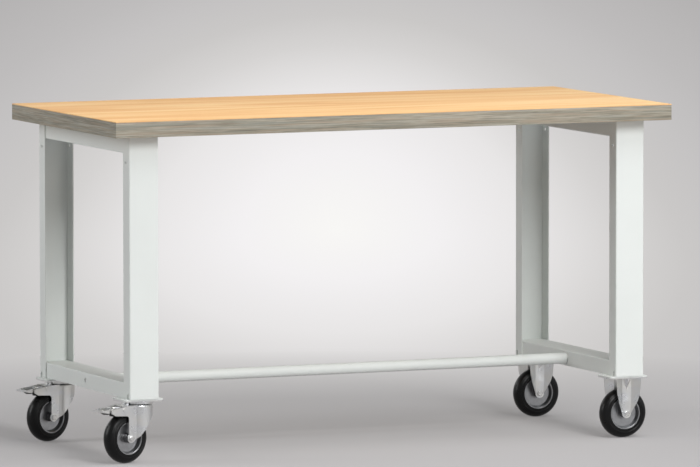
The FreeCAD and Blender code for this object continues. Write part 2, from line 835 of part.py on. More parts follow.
def raw_hexagon(flats, height):
    """A hexagonal prism with no place yet."""
    solid = DOC.addObject("Part::Prism", "Prism")
    solid.Polygon = 6
    bind(solid, "Circumradius", "(%s) / 2 / cos(30)" % flats)
    bind(solid, "Height", height)
    return solid


def raw_cylinder(radius, height):
    """A cylinder with no place yet."""
    solid = DOC.addObject("Part::Cylinder", "Cylinder")
    bind(solid, "Radius", radius)
    bind(solid, "Height", height)
    return solid


# ---------------------------------------------------------------------------
# Swivel castors: local frame on the floor below the king pin, leading side along +X
# ---------------------------------------------------------------------------
def make_swivel_plate(corner):
    """Top plate with the king pin's hole."""
    body = plate_solid("swivel_plate_" + corner, "plate_thickness", "king_pin_radius + hole_clearance")
    where = castor_place(corner)
    place(body, where["x"], where["y"], "plate_bottom")
    node(body, "swivel_plate_" + corner)


def make_race_ring(corner):
    """Ring under the plate, with the groove that the balls run in."""
    body = new_body("race_ring_" + corner)
    profile = new_sketch(body, "ring_profile", "XZ")
    add_rectangle(profile, "race_hole_radius", "race_bottom", "race_radius", "plate_bottom")
    revolve(body, "Revolution", profile, "V_Axis")
    groove = new_sketch(body, "ball_groove", "XZ")
    add_circle(groove, "ball_circle", "ball_height", "ball_radius + running_clearance")
    revolve(body, "Groove", groove, "V_Axis")
    where = castor_place(corner)
    place(body, where["x"], where["y"])
    node(body, "race_ring_" + corner)


def make_balls():
    """The bearing balls of both swivel heads."""
    balls = []
    count = int(size("balls_per_race"))
    for corner in SWIVEL_CORNERS:
        where = castor_place(corner)
        for index in range(count):
            turn = 360 * index / count
            ball = DOC.addObject("Part::Sphere", "Ball")
            bind(ball, "Radius", "ball_radius")
            place(ball, "%s + ball_circle * cos(%s)" % (where["x"], turn),
                  "%s + ball_circle * sin(%s)" % (where["y"], turn), "ball_height")
            balls.append(ball)
    group("swivel_balls", balls)


def make_king_pins():
    """Pins that hold the forks to the plates, each with its nut below the crown."""
    pins = []
    nut_top = "crown_bottom - king_pin_nut_gap"
    for corner in SWIVEL_CORNERS:
        where = castor_place(corner)
        shank = cylinder("king_pin_radius", "castor_height - crown_top + king_pin_reach - hole_clearance",
                         where["x"], where["y"], "crown_top - king_pin_reach")
        nut = hexagon("king_pin_nut_flats", "king_pin_nut_height", where["x"], where["y"],
                      nut_top + " - king_pin_nut_height")
        pins.append(fused(shank, nut))
    group("king_pins", pins)


def make_fork(corner):
    """Pressed fork: round crown in front, two flat arms to the axle and a brake band behind."""
    body = new_body("fork_" + corner)
    axle = ("-trail", "wheel_radius")
    low = "wheel_radius - boss_radius"
    crown = new_sketch(body, "crown_outline", "XY", low)
    add_circle(crown, "0", "0", "crown_radius")
    pad(body, crown, "crown_top - (%s)" % low)
    arms = new_sketch(body, "arms_outline", "XY", low)
    add_rectangle(arms, "-fork_rear", "-fork_half_width", "0", "fork_half_width")
    pad(body, arms, "crown_top - (%s)" % low)

    front = new_sketch(body, "front_cut", "XZ")
    add_polygon(front, [
        ("-trail", low), ("-trail + boss_radius * cos(45)", "wheel_radius - boss_radius * sin(45)"),
        ("-arm_front_bottom", "wheel_radius + arm_front_rise"), ("arm_front_top", "crown_top - arm_front_drop"),
        ("crown_radius + 1", "crown_top - arm_front_drop"), ("crown_radius + 1", low + " - 1"),
        ("-trail", low + " - 1")])
    pocket(body, front, symmetric=True)
    rear = new_sketch(body, "rear_cut", "XZ")
    add_polygon(rear, [
        ("-trail", low + " - 1"), ("-trail", "wheel_radius"), ("-arm_rear", "wheel_radius"),
        ("-arm_rear", "crown_top - band_bottom_drop"), ("-band_knee", "crown_top - band_knee_drop"),
        ("-fork_rear - 1", "crown_top - band_end_drop"), ("-fork_rear - 1", low + " - 1")])
    pocket(body, rear, symmetric=True)
    top = new_sketch(body, "band_top_cut", "XZ")
    add_polygon(top, [
        ("-crown_rear", "crown_top"), ("-fork_rear - 1", "crown_top - band_top_drop"),
        ("-fork_rear - 1", "crown_top + 1"), ("-crown_rear", "crown_top + 1")])
    pocket(body, top, symmetric=True)

    boss = new_sketch(body, "boss_outline", "XZ")
    add_circle(boss, *axle, "boss_radius")
    pad(body, boss, "2 * fork_half_width", symmetric=True)
    band_bottom = size("crown_top") - size("band_bottom_drop")
    fillet(body, "arm_corner_radius", lambda edge: along(edge, 1)
           and near(middle(edge).x, -size("arm_rear")) and near(middle(edge).z, band_bottom))
    fillet(body, "crown_rounding", lambda edge: near(middle(edge).z, size("crown_top"))
           and isinstance(edge.Curve, Part.Circle))

    hollow_round = new_sketch(body, "crown_hollow", "XY")
    add_circle(hollow_round, "0", "0", "crown_radius - fork_sheet")
    pocket(body, hollow_round, "crown_bottom", reverse=True)
    hollow = new_sketch(body, "arms_hollow", "XY")
    add_rectangle(hollow, "-fork_rear - 1", "-fork_inner", "0", "fork_inner")
    pocket(body, hollow, "crown_bottom", reverse=True)
    opening = new_sketch(body, "rear_opening", "XY", "crown_top")
    add_rectangle(opening, "-fork_rear - 1", "-fork_inner", "-crown_rear", "fork_inner")
    pocket(body, opening, "2 * crown_thickness")

    pin_bore = new_sketch(body, "king_pin_bore", "XY", "crown_top")
    add_circle(pin_bore, "0", "0", "king_pin_bore")
    pocket(body, pin_bore, "2 * crown_thickness")
    cross_holes = new_sketch(body, "cross_holes", "XZ")
    add_circle(cross_holes, *axle, "axle_radius + hole_clearance")
    add_circle(cross_holes, "-pedal_pin_back", "pedal_pin_height", "pedal_pin_radius + hole_clearance")
    pocket(body, cross_holes, symmetric=True)
    groove = new_sketch(body, "ball_groove", "XZ")
    add_circle(groove, "ball_circle", "ball_height", "ball_radius + running_clearance")
    revolve(body, "Groove", groove, "V_Axis")
    place(body, **castor_place(corner))
    node(body, "fork_" + corner)


def make_pedal(corner):
    """Brake pedal: tilted plate with two cheeks round its pin and a rimmed blade at the tip."""
    body = new_body("brake_pedal_" + corner)
    slope = "tan(pedal_tilt)"

    def surface(back):
        """Height of the plate's upper face at a distance behind the king pin."""
        return "pedal_plate_height + (%s - pedal_plate_start) * %s" % (back, slope)

    pin = ("-pedal_pin_back", "pedal_pin_height")
    cheek = new_sketch(body, "cheek_outline", "XZ")
    low = "(pedal_plate_height - pedal_sheet)"
    add_polygon(cheek, [
        ("-pedal_plate_start", low), ("-pedal_side_end", surface("pedal_side_end") + " - pedal_sheet"),
        ("-pedal_side_end", surface("pedal_side_end")),
        ("-pedal_blade_start", surface("pedal_blade_start") + " + pedal_side_height"),
        ("-pedal_pin_back", "pedal_pin_height + pedal_eye_radius - 0.5"),
        ("-pedal_pin_back + 4", "pedal_pin_height - pedal_eye_radius + 1")])
    pad(body, cheek, "2 * pedal_half_width", symmetric=True)
    eye = new_sketch(body, "eye_outline", "XZ")
    add_circle(eye, *pin, "pedal_eye_radius")
    pad(body, eye, "2 * pedal_half_width", symmetric=True)
    between = new_sketch(body, "between_cheeks", "XZ")
    add_rectangle(between, "-pedal_tip", "pedal_plate_height - 20",
                  "-pedal_pin_back + pedal_eye_radius + 1", "pedal_pin_height + pedal_eye_radius + 1")
    pocket(body, between, "2 * (pedal_half_width - pedal_sheet)", symmetric=True)

    plate = new_sketch(body, "plate_side", "XZ")
    add_polygon(plate, [
        ("-pedal_plate_start", "pedal_plate_height"), ("-pedal_plate_start", low),
        ("-pedal_tip", surface("pedal_tip") + " - pedal_sheet"), ("-pedal_tip", surface("pedal_tip"))])
    pad(body, plate, "2 * pedal_half_width", symmetric=True)
    blade = new_sketch(body, "blade_side", "XZ")
    add_polygon(blade, [
        ("-pedal_blade_start", surface("pedal_blade_start")),
        ("-pedal_blade_start", surface("pedal_blade_start") + " - pedal_rim_depth"),
        ("-pedal_tip", surface("pedal_tip") + " - pedal_rim_depth"), ("-pedal_tip", surface("pedal_tip"))])
    pad(body, blade, "2 * pedal_half_width", symmetric=True)
    tip_x = -size("pedal_tip")
    fillet(body, "pedal_tip_rounding", lambda edge: near(middle(edge).x, tip_x)
           and near(abs(middle(edge).y), size("pedal_half_width")) and not along(edge, 1))
    dish = new_sketch(body, "blade_dish", "XZ")
    inside = "(pedal_tip - pedal_rim_sheet)"
    start = "(pedal_blade_start + pedal_rim_sheet)"
    add_polygon(dish, [
        ("-" + start, surface(start) + " - pedal_rim_sheet"), ("-" + start, surface(start) + " - 20"),
        ("-" + inside, surface(inside) + " - 20"), ("-" + inside, surface(inside) + " - pedal_rim_sheet")])
    pocket(body, dish, "2 * (pedal_half_width - pedal_tip_rounding / 2)", symmetric=True)

    bore = new_sketch(body, "pin_bore", "XZ")
    add_circle(bore, *pin, "pedal_pin_radius + running_clearance")
    pocket(body, bore, symmetric=True)
    place(body, **castor_place(corner))
    node(body, "brake_pedal_" + corner)


def make_brake_shoe(corner):
    """Shoe under the pedal: its lower face looks at the middle of the wheel."""
    body = new_body("brake_shoe_" + corner)
    side = new_sketch(body, "shoe_side", "XZ")
    along_x = "shoe_half_length * cos(shoe_angle)"
    along_z = "shoe_half_length * sin(shoe_angle)"
    foot = "(-shoe_x)"
    front = "(%s - shoe_foot_half_length)" % foot
    back = "(%s + shoe_foot_half_length)" % foot
    under = "pedal_plate_height - pedal_sheet / cos(pedal_tilt) - 0.05"
    slope = "tan(pedal_tilt)"
    add_polygon(side, [
        ("-" + front, "%s + (%s - pedal_plate_start) * %s" % (under, front, slope)),
        ("shoe_x + " + along_x, "shoe_z + " + along_z),
        ("shoe_x - " + along_x, "shoe_z - " + along_z),
        ("-" + back, "%s + (%s - pedal_plate_start) * %s" % (under, back, slope))])
    pad(body, side, "2 * shoe_half_width", symmetric=True)
    place(body, **castor_place(corner))
    node(body, "brake_shoe_" + corner)


def make_swivel_lock(corner):
    """Spring steel angle on the crown: two teeth stand up towards the plate, with a slot between."""
    body = new_body("swivel_lock_" + corner)
    side = new_sketch(body, "lock_side", "XZ")
    top = "crown_top + lock_height"
    foot = "crown_top + lock_sheet"
    add_polygon(side, [
        ("-lock_front", "crown_top"), ("-lock_front", top), ("-lock_front - lock_sheet", top),
        ("-lock_front - lock_sheet", foot), ("-lock_front - lock_foot", foot),
        ("-lock_front - lock_foot", "crown_top")])
    pad(body, side, "2 * lock_half_width", symmetric=True)
    slot = new_sketch(body, "lock_slot", "YZ")
    add_rectangle(slot, "-lock_slot_half_width", foot, "lock_slot_half_width", top + " + 1")
    pocket(body, slot, symmetric=True)
    place(body, **castor_place(corner))
    node(body, "swivel_lock_" + corner)


def across(corner, solid, back, height, distance):
    """Lay a solid made along +Z across a swivel castor, from a distance along its own Y."""
    where = castor_place(corner)
    lying = FreeCAD.Rotation(FreeCAD.Vector(1, 0, 0), -90)
    turned = FreeCAD.Rotation(FreeCAD.Vector(0, 0, 1), size("swivel_angle"))
    solid.Placement = FreeCAD.Placement(FreeCAD.Vector(0, 0, 0), turned.multiply(lying))
    bind(solid, "Placement.Base.x",
         "%s - %s * cos(swivel_angle) - (%s) * sin(swivel_angle)" % (where["x"], back, distance))
    bind(solid, "Placement.Base.y",
         "%s - %s * sin(swivel_angle) + (%s) * cos(swivel_angle)" % (where["y"], back, distance))
    bind(solid, "Placement.Base.z", height)
    return solid


def make_pedal_pin(corner):
    """Rivet through both sides of the fork that the pedal turns on."""
    spot = ("pedal_pin_back", "pedal_pin_height")
    shank = across(corner, raw_cylinder("pedal_pin_radius", "2 * fork_half_width + 2"), *spot,
                   "-fork_half_width - 1")
    heads = [across(corner, raw_cylinder("pedal_pin_head_radius", "pedal_pin_head_height"), *spot, start)
             for start in ("-fork_half_width - pedal_pin_head_height", "fork_half_width")]
    node(fused(shank, *heads), "pedal_pin_" + corner)


def make_pedal_spring(corner):
    """Coil spring round the pedal pin, between the cheeks."""
    spine = DOC.addObject("Part::Helix", "Helix")
    bind(spine, "Pitch", "spring_pitch")
    bind(spine, "Height", "spring_length")
    bind(spine, "Radius", "spring_mean_radius")
    wire = DOC.addObject("Part::Circle", "Wire")
    bind(wire, "Radius", "spring_wire_radius")
    wire.Placement = FreeCAD.Placement(FreeCAD.Vector(0, 0, 0), FreeCAD.Rotation(FreeCAD.Vector(1, 0, 0), 90))
    bind(wire, "Placement.Base.x", "spring_mean_radius")
    coil = DOC.addObject("Part::Sweep", "Coil")
    coil.Sections = [wire]
    coil.Spine = (spine, [])
    coil.Solid = True
    coil.Frenet = True
    across(corner, coil, "pedal_pin_back", "pedal_pin_height", "-spring_length / 2")
    node(coil, "pedal_spring_" + corner)


# ---------------------------------------------------------------------------
# Fixed castors: local frame on the floor below the plate's middle
# ---------------------------------------------------------------------------
def arm_section(body, name, height, half_width, reach, floor, recess):
    """A cross-section of the front arm: two wings that stand out on both sides of a floor."""
    sketch = new_sketch(body, name, "XY", height)
    outer = [("-" + half_width, "bracket_outer + " + reach), ("-" + floor, "bracket_outer"),
             ("0", "bracket_outer - " + recess), (floor, "bracket_outer"),
             (half_width, "bracket_outer + " + reach)]
    inner = [(x, "%s - bracket_sheet" % a) for x, a in reversed(outer)]
    add_polygon(sketch, [(x, "-(%s)" % a) for x, a in outer + inner])
    return sketch


def make_bracket(corner):
    """Fixed bracket: plate and two arms whose wings stand out at the top and end at the axle."""
    body = plate_solid("bracket_" + corner, "plate_thickness")
    top = arm_section(body, "arm_top", "-0.5", "wing_half_width", "wing_reach",
                      "floor_half_width", "floor_recess")
    axle_z = "wheel_radius - plate_bottom"
    mid = arm_section(body, "arm_middle", axle_z + " + wing_middle_rise", "wing_middle_half_width",
                      "wing_middle_reach", "floor_half_width", "floor_recess / 2")
    knee = arm_section(body, "arm_knee", axle_z + " + wing_bottom_rise", "wing_bottom_half_width",
                       "wing_bottom_reach", "floor_half_width", "0")
    low = arm_section(body, "arm_low", axle_z, "bracket_boss_radius", "0",
                      "(bracket_boss_radius - 2)", "0")
    arm = body.newObject("PartDesign::AdditiveLoft", "Arm")
    arm.Profile = top
    arm.Sections = [mid, knee, low]
    arm.Ruled = True
    root = arm_section(body, "arm_root", "-0.5", "wing_half_width", "wing_reach",
                       "floor_half_width", "floor_recess")
    foot = pad(body, root, "1")
    boss = new_sketch(body, "boss_outline", "XZ", "bracket_inner")
    add_circle(boss, "0", "wheel_radius - plate_bottom", "bracket_boss_radius")
    boss_pad = pad(body, boss, "bracket_sheet")
    DOC.recompute()
    mirrored(body, [arm, foot, boss_pad], "XZ")
    DOC.recompute()
    window = new_sketch(body, "window", "XZ")
    add_polygon(window, [("-window_half_width", "0"), ("0", "-window_height"), ("window_half_width", "0")])
    pocket(body, window, symmetric=True)
    axle_hole = new_sketch(body, "axle_hole", "XZ")
    add_circle(axle_hole, "0", "wheel_radius - plate_bottom", "axle_radius + hole_clearance")
    pocket(body, axle_hole, symmetric=True)
    where = castor_place(corner)
    place(body, where["x"], where["y"], "plate_bottom")
    node(body, "bracket_" + corner)


# ---------------------------------------------------------------------------
# The whole table
# ---------------------------------------------------------------------------
def build():
    """Make every sub-part."""
    make_worktop()
    make_worktop_screws()
    for corner in CORNERS:
        make_leg(corner)
    for side in SIDES:
        make_upper_rail(side)
        make_lower_rail(side)
    make_foot_plates()
    make_stretcher()
    make_castor_screws()
    make_balls()
    make_king_pins()
    for corner in SWIVEL_CORNERS:
        make_swivel_plate(corner)
        make_race_ring(corner)
        make_fork(corner)
        make_pedal(corner)
        make_brake_shoe(corner)
        make_swivel_lock(corner)
        make_pedal_pin(corner)
        make_pedal_spring(corner)
        make_axle(corner, "fork_half_width")
    for corner in FIXED_CORNERS:
        make_bracket(corner)
        make_axle(corner, "bracket_outer")
    for corner in CORNERS:
        make_rim(corner)
        make_tyre(corner)
        make_hub(corner)
    DOC.recompute()


def centre_frame():
    """Shift the table along X so that the origin lies below the middle of its bounding box."""
    whole = FreeCAD.BoundBox()
    for thing in NODES.values():
        whole.add(thing.Shape.BoundBox)
    SHEET.set(SHEET.getCellFromAlias("frame_shift"), "%.4f" % -whole.Center.x)
    DOC.recompute()


def check():
    """Stop if any object failed or any sub-part is null or invalid."""
    for thing in DOC.Objects:
        if "Invalid" in thing.State or "Error" in thing.State:
            raise ValueError("%s (%s) failed: %s" % (thing.Name, thing.Label, thing.State))
    for name, thing in NODES.items():
        if thing.Shape.isNull() or not thing.Shape.isValid():
            raise ValueError("%s has no valid shape" % name)


def write():
    """Write each sub-part to parts/NAME.step."""
    os.makedirs("parts", exist_ok=True)
    for name, thing in NODES.items():
        thing.Shape.exportStep("parts/%s.step" % name)
        box_size = thing.Shape.BoundBox
        print("%-28s solids %2d  volume %10.1f  x %8.1f..%8.1f  y %8.1f..%8.1f  z %7.1f..%7.1f" % (
            name, len(thing.Shape.Solids), thing.Shape.Volume, box_size.XMin, box_size.XMax,
            box_size.YMin, box_size.YMax, box_size.ZMin, box_size.ZMax))
    print("%d sub-parts" % len(NODES))


WORDS = set(SIZES) | set(PLACES)
fill_sheet()
build()
centre_frame()
check()
write()
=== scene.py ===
"""Assembly table on castors: the finishes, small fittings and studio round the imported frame.

Lengths are metres and the frame is the part's own: the origin on the floor below the middle of
the table, +X along its length to the right, +Y to the back and +Z up.
"""
import logging
import math
from dataclasses import dataclass
from enum import Enum
from typing import Dict, List, Optional, Sequence, Tuple, Union

import bmesh
import bpy
import numpy as np
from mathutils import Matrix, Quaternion, Vector


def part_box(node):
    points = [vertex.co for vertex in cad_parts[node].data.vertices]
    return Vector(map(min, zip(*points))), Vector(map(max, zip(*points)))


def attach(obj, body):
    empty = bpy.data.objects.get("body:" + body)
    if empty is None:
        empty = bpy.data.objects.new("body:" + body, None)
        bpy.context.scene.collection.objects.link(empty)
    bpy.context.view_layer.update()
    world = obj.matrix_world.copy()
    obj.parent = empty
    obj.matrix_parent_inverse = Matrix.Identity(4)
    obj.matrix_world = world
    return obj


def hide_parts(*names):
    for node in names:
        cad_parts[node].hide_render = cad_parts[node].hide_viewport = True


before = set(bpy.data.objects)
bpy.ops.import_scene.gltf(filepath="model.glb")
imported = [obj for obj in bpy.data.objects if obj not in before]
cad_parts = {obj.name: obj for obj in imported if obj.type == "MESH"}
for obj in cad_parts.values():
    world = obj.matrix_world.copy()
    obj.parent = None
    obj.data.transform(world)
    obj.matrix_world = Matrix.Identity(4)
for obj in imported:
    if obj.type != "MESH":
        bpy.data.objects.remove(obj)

LOG = logging.getLogger("assembly_table")
MM = 0.001
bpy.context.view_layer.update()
MADE: Dict[str, bpy.types.Material] = {}  # each finish's material, by its name

Colour = Tuple[float, float, float, float]
Pair = Tuple[float, float]
Triple = Tuple[float, float, float]
Value = Union[float, Sequence[float], bpy.types.NodeSocket]

FULL: Pair = (0.0, 1.0)
MIDDLE: Pair = (0.3, 0.7)  # where most of a noise's values lie

MERGED = 0.002 * MM  # points nearer than this are one
EMPTY = 0.0001 * MM  # edges shorter than this vanish
STRING_STEPS = 10  # how many faces go round a weld bead or a wire
DROP_STEPS = 5  # how many rows each drop of a bead has
FEWEST_ROWS = 12
DROP_SWELL = 0.13  # how far a drop swells a bead, as a share of the bead's radius
ASLANT: Triple = (0.3, 0.5, 0.8)  # a direction that no bead runs along


def tone(red: int, green: int, blue: int) -> Colour:
    """A colour as the shader wants it, from its three display values.

    Each value is taken off the display's standard curve: straight near black, a power above.

    Args:
        red: Display value from 0 to 255.
        green: Display value from 0 to 255.
        blue: Display value from 0 to 255.

    Returns:
        The linear colour with an alpha of one.
    """
    linear = [c / 12.92 if c <= 0.04045 else ((c + 0.055) / 1.055) ** 2.4
              for c in (red / 255, green / 255, blue / 255)]
    return (linear[0], linear[1], linear[2], 1.0)


class Corner(Enum):
    """The four corners, each with its name and the way it lies along X and Y."""

    FRONT_LEFT = ("front_left", -1, -1)
    REAR_LEFT = ("rear_left", -1, 1)
    FRONT_RIGHT = ("front_right", 1, -1)
    REAR_RIGHT = ("rear_right", 1, 1)

    @property
    def label(self) -> str:
        """The corner's name in the frame's nodes and bodies."""
        return self.value[0]

    @property
    def along(self) -> int:
        """Minus one at the left end and one at the right."""
        return self.value[1]

    @property
    def across(self) -> int:
        """Minus one at the front and one at the back."""
        return self.value[2]

    @property
    def swivels(self) -> bool:
        """True for the castors that turn and brake."""
        return self.along < 0


# ---------------------------------------------------------------------------
# Materials
# ---------------------------------------------------------------------------
@dataclass(frozen=True)
class Noise:
    """A layer of noise: features per metre, finer layers, their strength, and how far it is pulled.

    A stretch multiplies the coordinates along each axis first, so that features are long where
    it is small.
    """

    scale: float = 1.0
    detail: float = 2.0
    roughness: float = 0.5
    distortion: float = 0.0
    stretch: Optional[Triple] = None


class Graph:
    """A material's node tree, with short calls that add nodes and join them."""

    def __init__(self, name: str) -> None:
        """Start a material that holds only its shader and its output.

        Args:
            name: The material's name.
        """
        self.material = bpy.data.materials.new(name)
        self.material.use_nodes = True
        self.nodes = self.material.node_tree.nodes
        self.links = self.material.node_tree.links
        self.shader = self.nodes["Principled BSDF"]
        self.spot = self.add("TexCoord").outputs["Object"]

    def add(self, kind: str, sockets: Optional[Dict[Union[str, int], Value]] = None,
            **settings: object) -> bpy.types.Node:
        """Add one node.

        Args:
            kind: The node's type without its ShaderNode prefix.
            sockets: What goes into each input, a value or another node's output.
            settings: Properties of the node itself.

        Returns:
            The new node.
        """
        node = self.nodes.new("ShaderNode" + kind)
        for key, value in settings.items():
            setattr(node, key, value)
        for key, value in (sockets or {}).items():
            self.feed(node.inputs[key], value)
        return node

    def feed(self, socket: bpy.types.NodeSocket, value: Value) -> None:
        """Give an input its value or its link.

        Args:
            socket: The input.
            value: A number, a tuple or another node's output.
        """
        if isinstance(value, bpy.types.NodeSocket):
            self.links.new(value, socket)
        else:
            socket.default_value = value

    def give(self, socket: str, value: Value) -> None:
        """Give one of the shader's own sockets its value or its link."""
        self.feed(self.shader.inputs[socket], value)

    def stretched(self, scale: Optional[Triple]) -> bpy.types.NodeSocket:
        """Object coordinates, times a scale along each axis if there is one.

        Args:
            scale: The scale, per metre.

        Returns:
            The coordinates.
        """
        if scale is None:
            return self.spot
        return self.add("Mapping", {"Vector": self.spot, "Scale": scale}).outputs[0]

    def centred(self, centre: Triple, turn: float) -> bpy.types.NodeSocket:
        """Object coordinates seen from a centre and turned about Z by an angle."""
        return self.add("Mapping", {"Vector": self.spot, "Location": centre,
                                    "Rotation": (0.0, 0.0, turn)},
                        vector_type="TEXTURE").outputs[0]

    def noise(self, look: Noise) -> bpy.types.NodeSocket:
        """Smooth noise from nought to one."""
        return self.add("TexNoise", {"Vector": self.stretched(look.stretch), "Scale": look.scale,
                                     "Detail": look.detail, "Roughness": look.roughness,
                                     "Distortion": look.distortion}).outputs["Fac"]

    def cells(self, scale: float, stretch: Optional[Triple] = None) -> bpy.types.NodeSocket:
        """Small cells, each with its own random value from nought to one.

        Args:
            scale: How many cells there are per metre.
            stretch: What the coordinates are multiplied by first.

        Returns:
            The cells' values.
        """
        node = self.add("TexVoronoi", {"Vector": self.stretched(stretch), "Scale": scale})
        return self.add("SeparateColor", {0: node.outputs["Color"]}).outputs[0]

    def sums(self, operation: str, first: Value, second: Value = 0.0) -> bpy.types.NodeSocket:
        """One step of arithmetic on two values."""
        return self.add("Math", {0: first, 1: second}, operation=operation).outputs[0]

    def length(self, vector: bpy.types.NodeSocket) -> bpy.types.NodeSocket:
        """A vector's length."""
        return self.add("VectorMath", {0: vector}, operation="LENGTH").outputs["Value"]

    def weighted(self, *parts: Tuple[Value, Value]) -> bpy.types.NodeSocket:
        """Values, each times its weight, added up from the last to the first.

        Args:
            parts: Each value with its weight.

        Returns:
            The sum.
        """
        terms = [self.sums("MULTIPLY", value, weight) for value, weight in parts]
        total = terms.pop()
        while terms:
            total = self.sums("ADD", terms.pop(), total)
        return total

    def between(self, value: Value, source: Pair, result: Pair) -> bpy.types.NodeSocket:
        """Map a value from one range to another, held at its ends.

        Args:
            value: The value to map.
            source: Where the first range starts and ends.
            result: What its start and its end become.

        Returns:
            The mapped value.
        """
        return self.add("MapRange", {"Value": value, "From Min": source[0], "From Max": source[1],
                                     "To Min": result[0], "To Max": result[1]}).outputs[0]

    def ramp(self, value: Value, marks: Sequence[float],
             tones: Sequence[Colour]) -> bpy.types.NodeSocket:
        """Colours along a scale.

        Args:
            value: Where on the scale, from nought to one.
            marks: Where each colour stands, in order.
            tones: The colours.

        Returns:
            The colour.
        """
        node = self.add("ValToRGB", {"Fac": value})
        elements = node.color_ramp.elements
        while len(elements) < len(marks):
            elements.new(1.0)
        for element, mark, colour in zip(elements, marks, tones):
            element.position = mark
            element.color = colour
        return node.outputs["Color"]

    def mixed(self, share: Value, first: Value, second: Value) -> bpy.types.NodeSocket:
        """Two colours mixed.

        Args:
            share: The second colour's share.
            first: The first colour.
            second: The second colour.

        Returns:
            The mixed colour.
        """
        node = self.add("Mix", data_type="RGBA")
        factor, colour_a, colour_b = node.inputs[0], node.inputs[6], node.inputs[7]
        for socket, value in ((factor, share), (colour_a, first), (colour_b, second)):
            self.feed(socket, value)
        return node.outputs[2]

    def relief(self, height: bpy.types.NodeSocket, raised: Pair) -> None:
        """Let a height of nought to one raise the surface.

        Args:
            height: The height.
            raised: How far a height of one stands up, in metres, and how much of it shows.
        """
        depth, strength = raised
        node = self.add("Bump", {"Height": height, "Distance": depth, "Strength": strength})
        self.give("Normal", node.outputs[0])


@dataclass(frozen=True)
class Finish:
    """A finish that makes its material once, under its own name.

    In each kind, contrast is the part of a pattern that goes from the dark tone to the light
    one, roughness the least and the most that the pattern gives, shine the specular level,
    and raised the relief's depth and how much of it shows.
    """

    name: str

    def dress(self, graph: Graph) -> None:
        """Set the shader and its patterns; each kind of finish has its own."""
        raise NotImplementedError

    def material(self) -> bpy.types.Material:
        """Make the material at the first call, and give the same one at each later call.

        Returns:
            The material.
        """
        if self.name not in MADE:
            graph = Graph(self.name)
            self.dress(graph)
            MADE[self.name] = graph.material
        return MADE[self.name]


@dataclass(frozen=True)
class PowderCoat(Finish):
    """Baked powder paint: faintly uneven in tone, with the fine dimples of orange peel."""

    dark: Colour = tone(224, 228, 225)
    light: Colour = tone(229, 233, 230)
    clouds: Noise = Noise(5.0, 3.0)
    specks: Noise = Noise(2600.0, 1.0)
    weights: Pair = (0.6, 0.4)
    contrast: Pair = (0.35, 0.65)
    roughness: Pair = (0.42, 0.5)
    shine: float = 0.25
    dimples: Noise = Noise(620.0)
    raised: Pair = (0.012 * MM, 0.8)

    def dress(self, graph: Graph) -> None:
        """Set the paint's tone, its gloss and its dimples.

        Args:
            graph: The material's node tree.
        """
        cloud, speck = graph.noise(self.clouds), graph.noise(self.specks)
        mottle = graph.weighted((cloud, self.weights[0]), (speck, self.weights[1]))
        share = graph.between(mottle, self.contrast, FULL)
        graph.give("Base Color", graph.mixed(share, self.dark, self.light))
        graph.give("Roughness", graph.between(cloud, MIDDLE, self.roughness))
        graph.give("Specular IOR Level", self.shine)
        graph.relief(graph.noise(self.dimples), self.raised)


@dataclass(frozen=True)
class WoodFace(Finish):
    """Lengthwise wood grain: broad tone bands, growth lines and short dark flecks.

    The pattern is noise whose coordinates are pressed together across the grain, so that each
    feature is long along X and narrow across it.
    """

    tones: Tuple[Colour, ...] = (tone(224, 166, 108), tone(241, 189, 131),
                                 tone(250, 206, 150), tone(254, 220, 169))
    marks: Tuple[float, ...] = (0.33, 0.43, 0.52, 0.64)
    fleck: Colour = tone(198, 146, 98)
    bands: Noise = Noise(1.0, 2.0, 0.5, 0.9, (1.0, 9.0, 9.0))
    lines: Noise = Noise(1.0, 4.0, 0.6, 0.5, (1.3, 52.0, 52.0))
    fibres: Noise = Noise(1.0, 3.0, 0.55, 0.0, (16.0, 420.0, 420.0))
    dashes: Noise = Noise(1.0, 1.0, stretch=(170.0, 1900.0, 1900.0))
    weights: Triple = (0.5, 0.34, 0.16)
    dash_range: Pair = (0.66, 0.74)
    dash_share: float = 0.4
    roughness: Pair = (0.52, 0.62)
    shine: float = 0.12
    raised: Pair = (0.006 * MM, 0.6)

    def dress(self, graph: Graph) -> None:
        """Set the grain's colours, its satin gloss and its shallow pores.

        Args:
            graph: The material's node tree.
        """
        layers = [graph.noise(look) for look in (self.bands, self.lines, self.fibres)]
        fibre = layers[-1]
        colour = graph.ramp(graph.weighted(*zip(layers, self.weights)), self.marks, self.tones)
        share = graph.between(graph.noise(self.dashes), self.dash_range, (0.0, self.dash_share))
        graph.give("Base Color", graph.mixed(share, colour, self.fleck))
        graph.give("Roughness", graph.between(fibre, MIDDLE, self.roughness))
        graph.give("Specular IOR Level", self.shine)
        graph.relief(fibre, self.raised)


